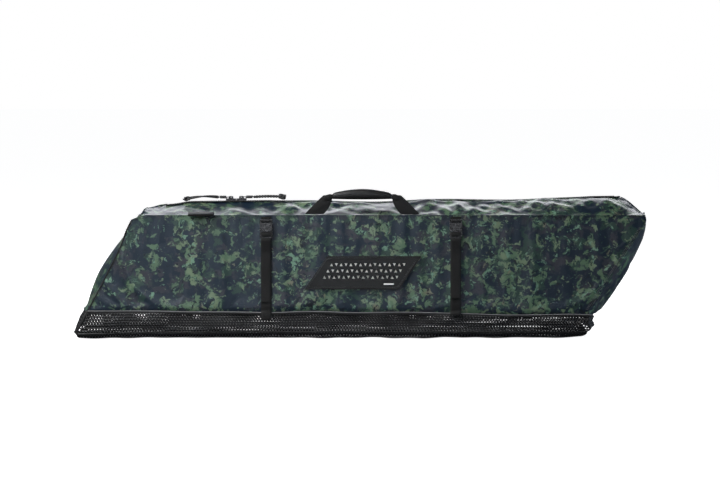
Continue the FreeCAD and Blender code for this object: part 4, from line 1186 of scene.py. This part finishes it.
def make_grab_tab():
    """Short loop of webbing whose top rolls over its underside: the top is painted pale where light
    falls on the roll, the underside black as painted shade below it.
    """
    low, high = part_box("grab_tab")
    middle = (low.x + high.x)/2 + 0.004
    width = high.x - low.x
    out = np.array([low.y + 0.0034, high.z + 0.0008])
    root = np.array([high.y + 0.001, low.z + 0.0035])
    upper = [root + (out - root)*t + (0, 0.0012*math.sin(math.pi*t))
             for t in np.linspace(0, 1, 12)]
    upper += [out + (-0.0014, -0.0008), out + (-0.0022, -0.0022), out + (-0.0024, -0.0042)]
    lower = [out + (-0.0022, -0.0046), out + (-0.0020, -0.0064), out + (-0.0008, -0.0082)]
    lower += [out + (0, -0.0082) + (root - out - (0, -0.0062))*t for t in np.linspace(0.12, 1, 10)]
    # The top piece gets the pale painted highlight, the underside the black webbing as painted shade
    for name, path, material in (("grab_tab_top", upper, TAB_WEBBING_PAINTED_HIGHLIGHT),
                                 ("grab_tab_underside", lower, WEBBING)):
        piece = ribbon(name, [(middle, y, z) for y, z in path], (1, 0, 0), width, 0.0017)
        nodes = ["grab_tab"] if name == "grab_tab_top" else []
        dress(piece, material, "grab_tab", nodes)


def make_cords():
    """A doubled cord on each pull: whipped next to the eye, with a bulky knot at its end."""
    for side, out, drop, arch, turns in (("left", -1, -0.0035, 0.003, 0.5),
                                         ("right", 1, 0.0005, 0.001, 5)):
        low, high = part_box(f"{side}_pull_cord")
        tab_low, tab_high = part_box(f"{side}_pull_tab")
        eye = Vector((high.x if out < 0 else low.x, 0, (tab_low.z + tab_high.z)/2))
        far = low.x if out < 0 else high.x
        knot = Vector((far - out*0.0095, 0, eye.z + drop))
        make_strands(side, eye, knot, arch, turns)
        make_whipping(side, out, eye)
        make_knot(side, out, knot)


def make_strands(side, eye, knot, arch, turns):
    """Both halves of the cord, twisted about each other from the eye to the knot and back."""
    radius = 0.0017
    strand = []
    for half, ts in ((1, np.linspace(1, 0, 70)), (-1, np.linspace(0, 1, 70))):
        for t in ts:
            twist = math.pi/2 + 2*math.pi*turns*t
            middle = eye.lerp(knot, float(t))
            strand.append((middle.x, half*radius*0.95*math.cos(twist),
                           middle.z + arch*math.sin(math.pi*t)
                           + half*radius*0.95*math.sin(twist)))
    cord = tube(f"{side}_pull_cord_braid", strand, radius, 10)
    dress(cord, BRAID, f"{side}_cord", [f"{side}_pull_cord"])


def make_whipping(side, out, eye):
    """Cord wound flat around the pull's plate beside the eye."""
    coil = []
    for t in np.linspace(0, 1, 130):
        angle = 2*math.pi*7*t
        coil.append((eye.x - out*(0.0035 + 0.0135*t), 0.0046*math.cos(angle),
                     eye.z + 0.0021*math.sin(angle)))
    whipping = tube(f"{side}_pull_whipping", coil, 0.0012, 8)
    dress(whipping, BRAID, f"{side}_pull")


def make_knot(side, out, knot):
    """Two turns of cord tucked through each other, with a short free end."""
    scale = 0.8 if side == "left" else 1.0
    path = []
    for t in np.linspace(0, 1, 150):
        around = 2*math.pi*2*t
        sweep = 2*math.pi*3*t
        ring = scale*(0.0034 + 0.0016*math.cos(sweep))
        path.append((knot.x + out*scale*0.0062*math.sin(sweep), ring*math.cos(around),
                     knot.z + ring*math.sin(around)))
    tied = tube(f"{side}_cord_knot", path, 0.0018*scale**0.5, 9)
    dress(tied, BRAID, f"{side}_cord")
    end = [(knot.x + out*(0.003 + 0.0055*t), 0.001*t, knot.z + 0.002*t*out)
           for t in np.linspace(0, 1, 8)]
    tip = tube(f"{side}_cord_end", end, 0.0016, 9)
    dress(tip, BRAID, f"{side}_cord")


def make_vent_rim(low, high):
    """Raised bead a little inside the outline of the patch."""
    inset = 0.0035
    lean = VENT_LEAN*(high.z - low.z - 2*inset)
    left, right = low.x + inset*1.9, high.x - inset*1.9
    bottom, top = low.z + inset, high.z - inset
    outline = [(left, bottom), (left + lean, top), (right, top), (right - lean, bottom)]
    y = low.y - 0.0002
    path = []
    for k, (x, z) in enumerate(outline):
        next_x, next_z = outline[(k + 1) % 4]
        for t in np.linspace(0.06, 0.94, 16):
            path.append((x + (next_x - x)*t, y, z + (next_z - z)*t))
    rim = tube("vent_rim", path, 0.0007, 8, closed=True)
    dress(rim, BEAD, "bag")


def make_vent_details():
    """Pale net behind the drain holes and one plain white bar where a mark would be."""
    low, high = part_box("vent_patch")
    y = high.y + 0.0006

    def backing(u, v):
        z = low.z + 0.018 + v*0.042
        x = low.x + 0.02 + VENT_LEAN*(z - low.z) + u*0.168
        return np.stack([x, y + 0*x, z], -1)
    sheet_piece = sheet("vent_backing", 12, 4, backing)
    dress(sheet_piece, LINING, "bag")
    bar_x = high.x - 0.078
    bar_z = low.z + 0.0095
    front = low.y - 0.0003

    def bar(u, v):
        x = bar_x + u*0.021
        z = bar_z + v*0.0028
        return np.stack([x, front + 0*x, z], -1)
    make_vent_rim(low, high)
    mark = sheet("plain_bar", 6, 2, bar)
    thicken(mark, 0.0003)
    dress(mark, WHITE, "bag")


# ------------------------------------------------------------------ stage

def only_for_camera(tree, seen, unseen):
    """Colour that the camera sees, and a duller one that lights and mirrors itself in the bag."""
    path = tree.nodes.new("ShaderNodeLightPath")
    mix = tree.nodes.new("ShaderNodeMix")
    mix.data_type = "RGBA"
    tree.links.new(path.outputs["Is Camera Ray"], mix.inputs["Factor"])
    mix.inputs[6].default_value = unseen
    mix.inputs[7].default_value = seen
    return mix.outputs[2]


def make_floor():
    half = 30.0
    mesh = bpy.data.meshes.new("floor")
    mesh.from_pydata([(-half, -half, 0), (half, -half, 0), (half, half, 0), (-half, half, 0)],
                     [], [(0, 1, 2, 3)])
    floor = bpy.data.objects.new("floor", mesh)
    scene.collection.objects.link(floor)
    floor.location.z = -0.0004
    m = Material("pale_floor")
    color = only_for_camera(m.tree, rgb(0.6, 0.6, 0.6), rgb(0.16, 0.165, 0.17))
    glow = only_for_camera(m.tree, rgb(0.96, 0.96, 0.96), rgb(0.0, 0.0, 0.0))
    m.connect(glow, m.shader.inputs["Emission Color"])
    m.shader.inputs["Emission Strength"].default_value = 1.0
    mesh.materials.append(m.set(color=color, rough=0.95, specular=0.0))


def make_world():
    world = bpy.data.worlds.new("studio")
    scene.world = world
    world.use_nodes = True
    background = world.node_tree.nodes["Background"]
    color = only_for_camera(world.node_tree, rgb(1, 1, 1), rgb(0.045, 0.05, 0.058))
    world.node_tree.links.new(color, background.inputs["Color"])
    background.inputs["Strength"].default_value = 1.0


def make_lights():
    for name, place, aim, size, power, tint, spread in (
            ("key", (-1.6, -1.45, 2.1), (-0.4, 0, 0.15), (1.2, 1.2), 80, (1.0, 0.99, 0.97), 150),
            ("haze", (-0.8, -2.9, 1.2), (-0.35, 0, 0.2), (0.8, 0.5), 3.0, (0.84, 0.93, 1.0), 50),
            ("sheen", (-0.15, 2.2, 1.5), (0, 0, 0.25), (3.2, 0.5), 54, (0.94, 0.95, 1.0), 180),
            ("gloss", (-0.1, -3.0, 0.12), (-0.05, 0, 0.21), (0.9, 0.15), 0.1, (0.9, 0.93, 1.0), 16),
            ("rim", (1.8, -0.2, 0.10), (0.55, 0, 0.14), (0.4, 0.2), 14, (0.7, 0.85, 1.0), 180)):
        light = bpy.data.lights.new(name, "AREA")
        light.shape = "RECTANGLE"
        light.size, light.size_y = size
        light.energy = power
        light.color = tint
        light.spread = math.radians(spread)
        lamp = bpy.data.objects.new(name, light)
        lamp.location = place
        lamp.visible_camera = False
        lamp.rotation_euler = (Vector(aim) - Vector(place)).to_track_quat("-Z", "Y").to_euler()
        scene.collection.objects.link(lamp)


def make_camera():
    data = bpy.data.cameras.new("camera")
    data.lens = 145
    data.sensor_width = 36
    camera = bpy.data.objects.new("camera", data)
    scene.collection.objects.link(camera)
    target = Vector((0, -HALF_DEPTH, 0.2068))
    elevation = math.radians(3.5)
    distance = 6.0
    camera.location = target + distance*Vector((0, -math.cos(elevation), math.sin(elevation)))
    camera.rotation_euler = (target - camera.location).to_track_quat("-Z", "Y").to_euler()
    scene.camera = camera
    scene.view_settings.view_transform = "Standard"


def make_stage():
    make_floor()
    make_world()
    make_lights()
    make_camera()


make_walls()
make_ends()
make_top()
make_net()
make_seams()
make_hems()
make_zip()
make_hardware()
make_straps()
make_handle()
make_grab_tab()
make_cords()
make_vent_details()
make_seam_stitches()
make_stage()
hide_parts("right_top_cap")
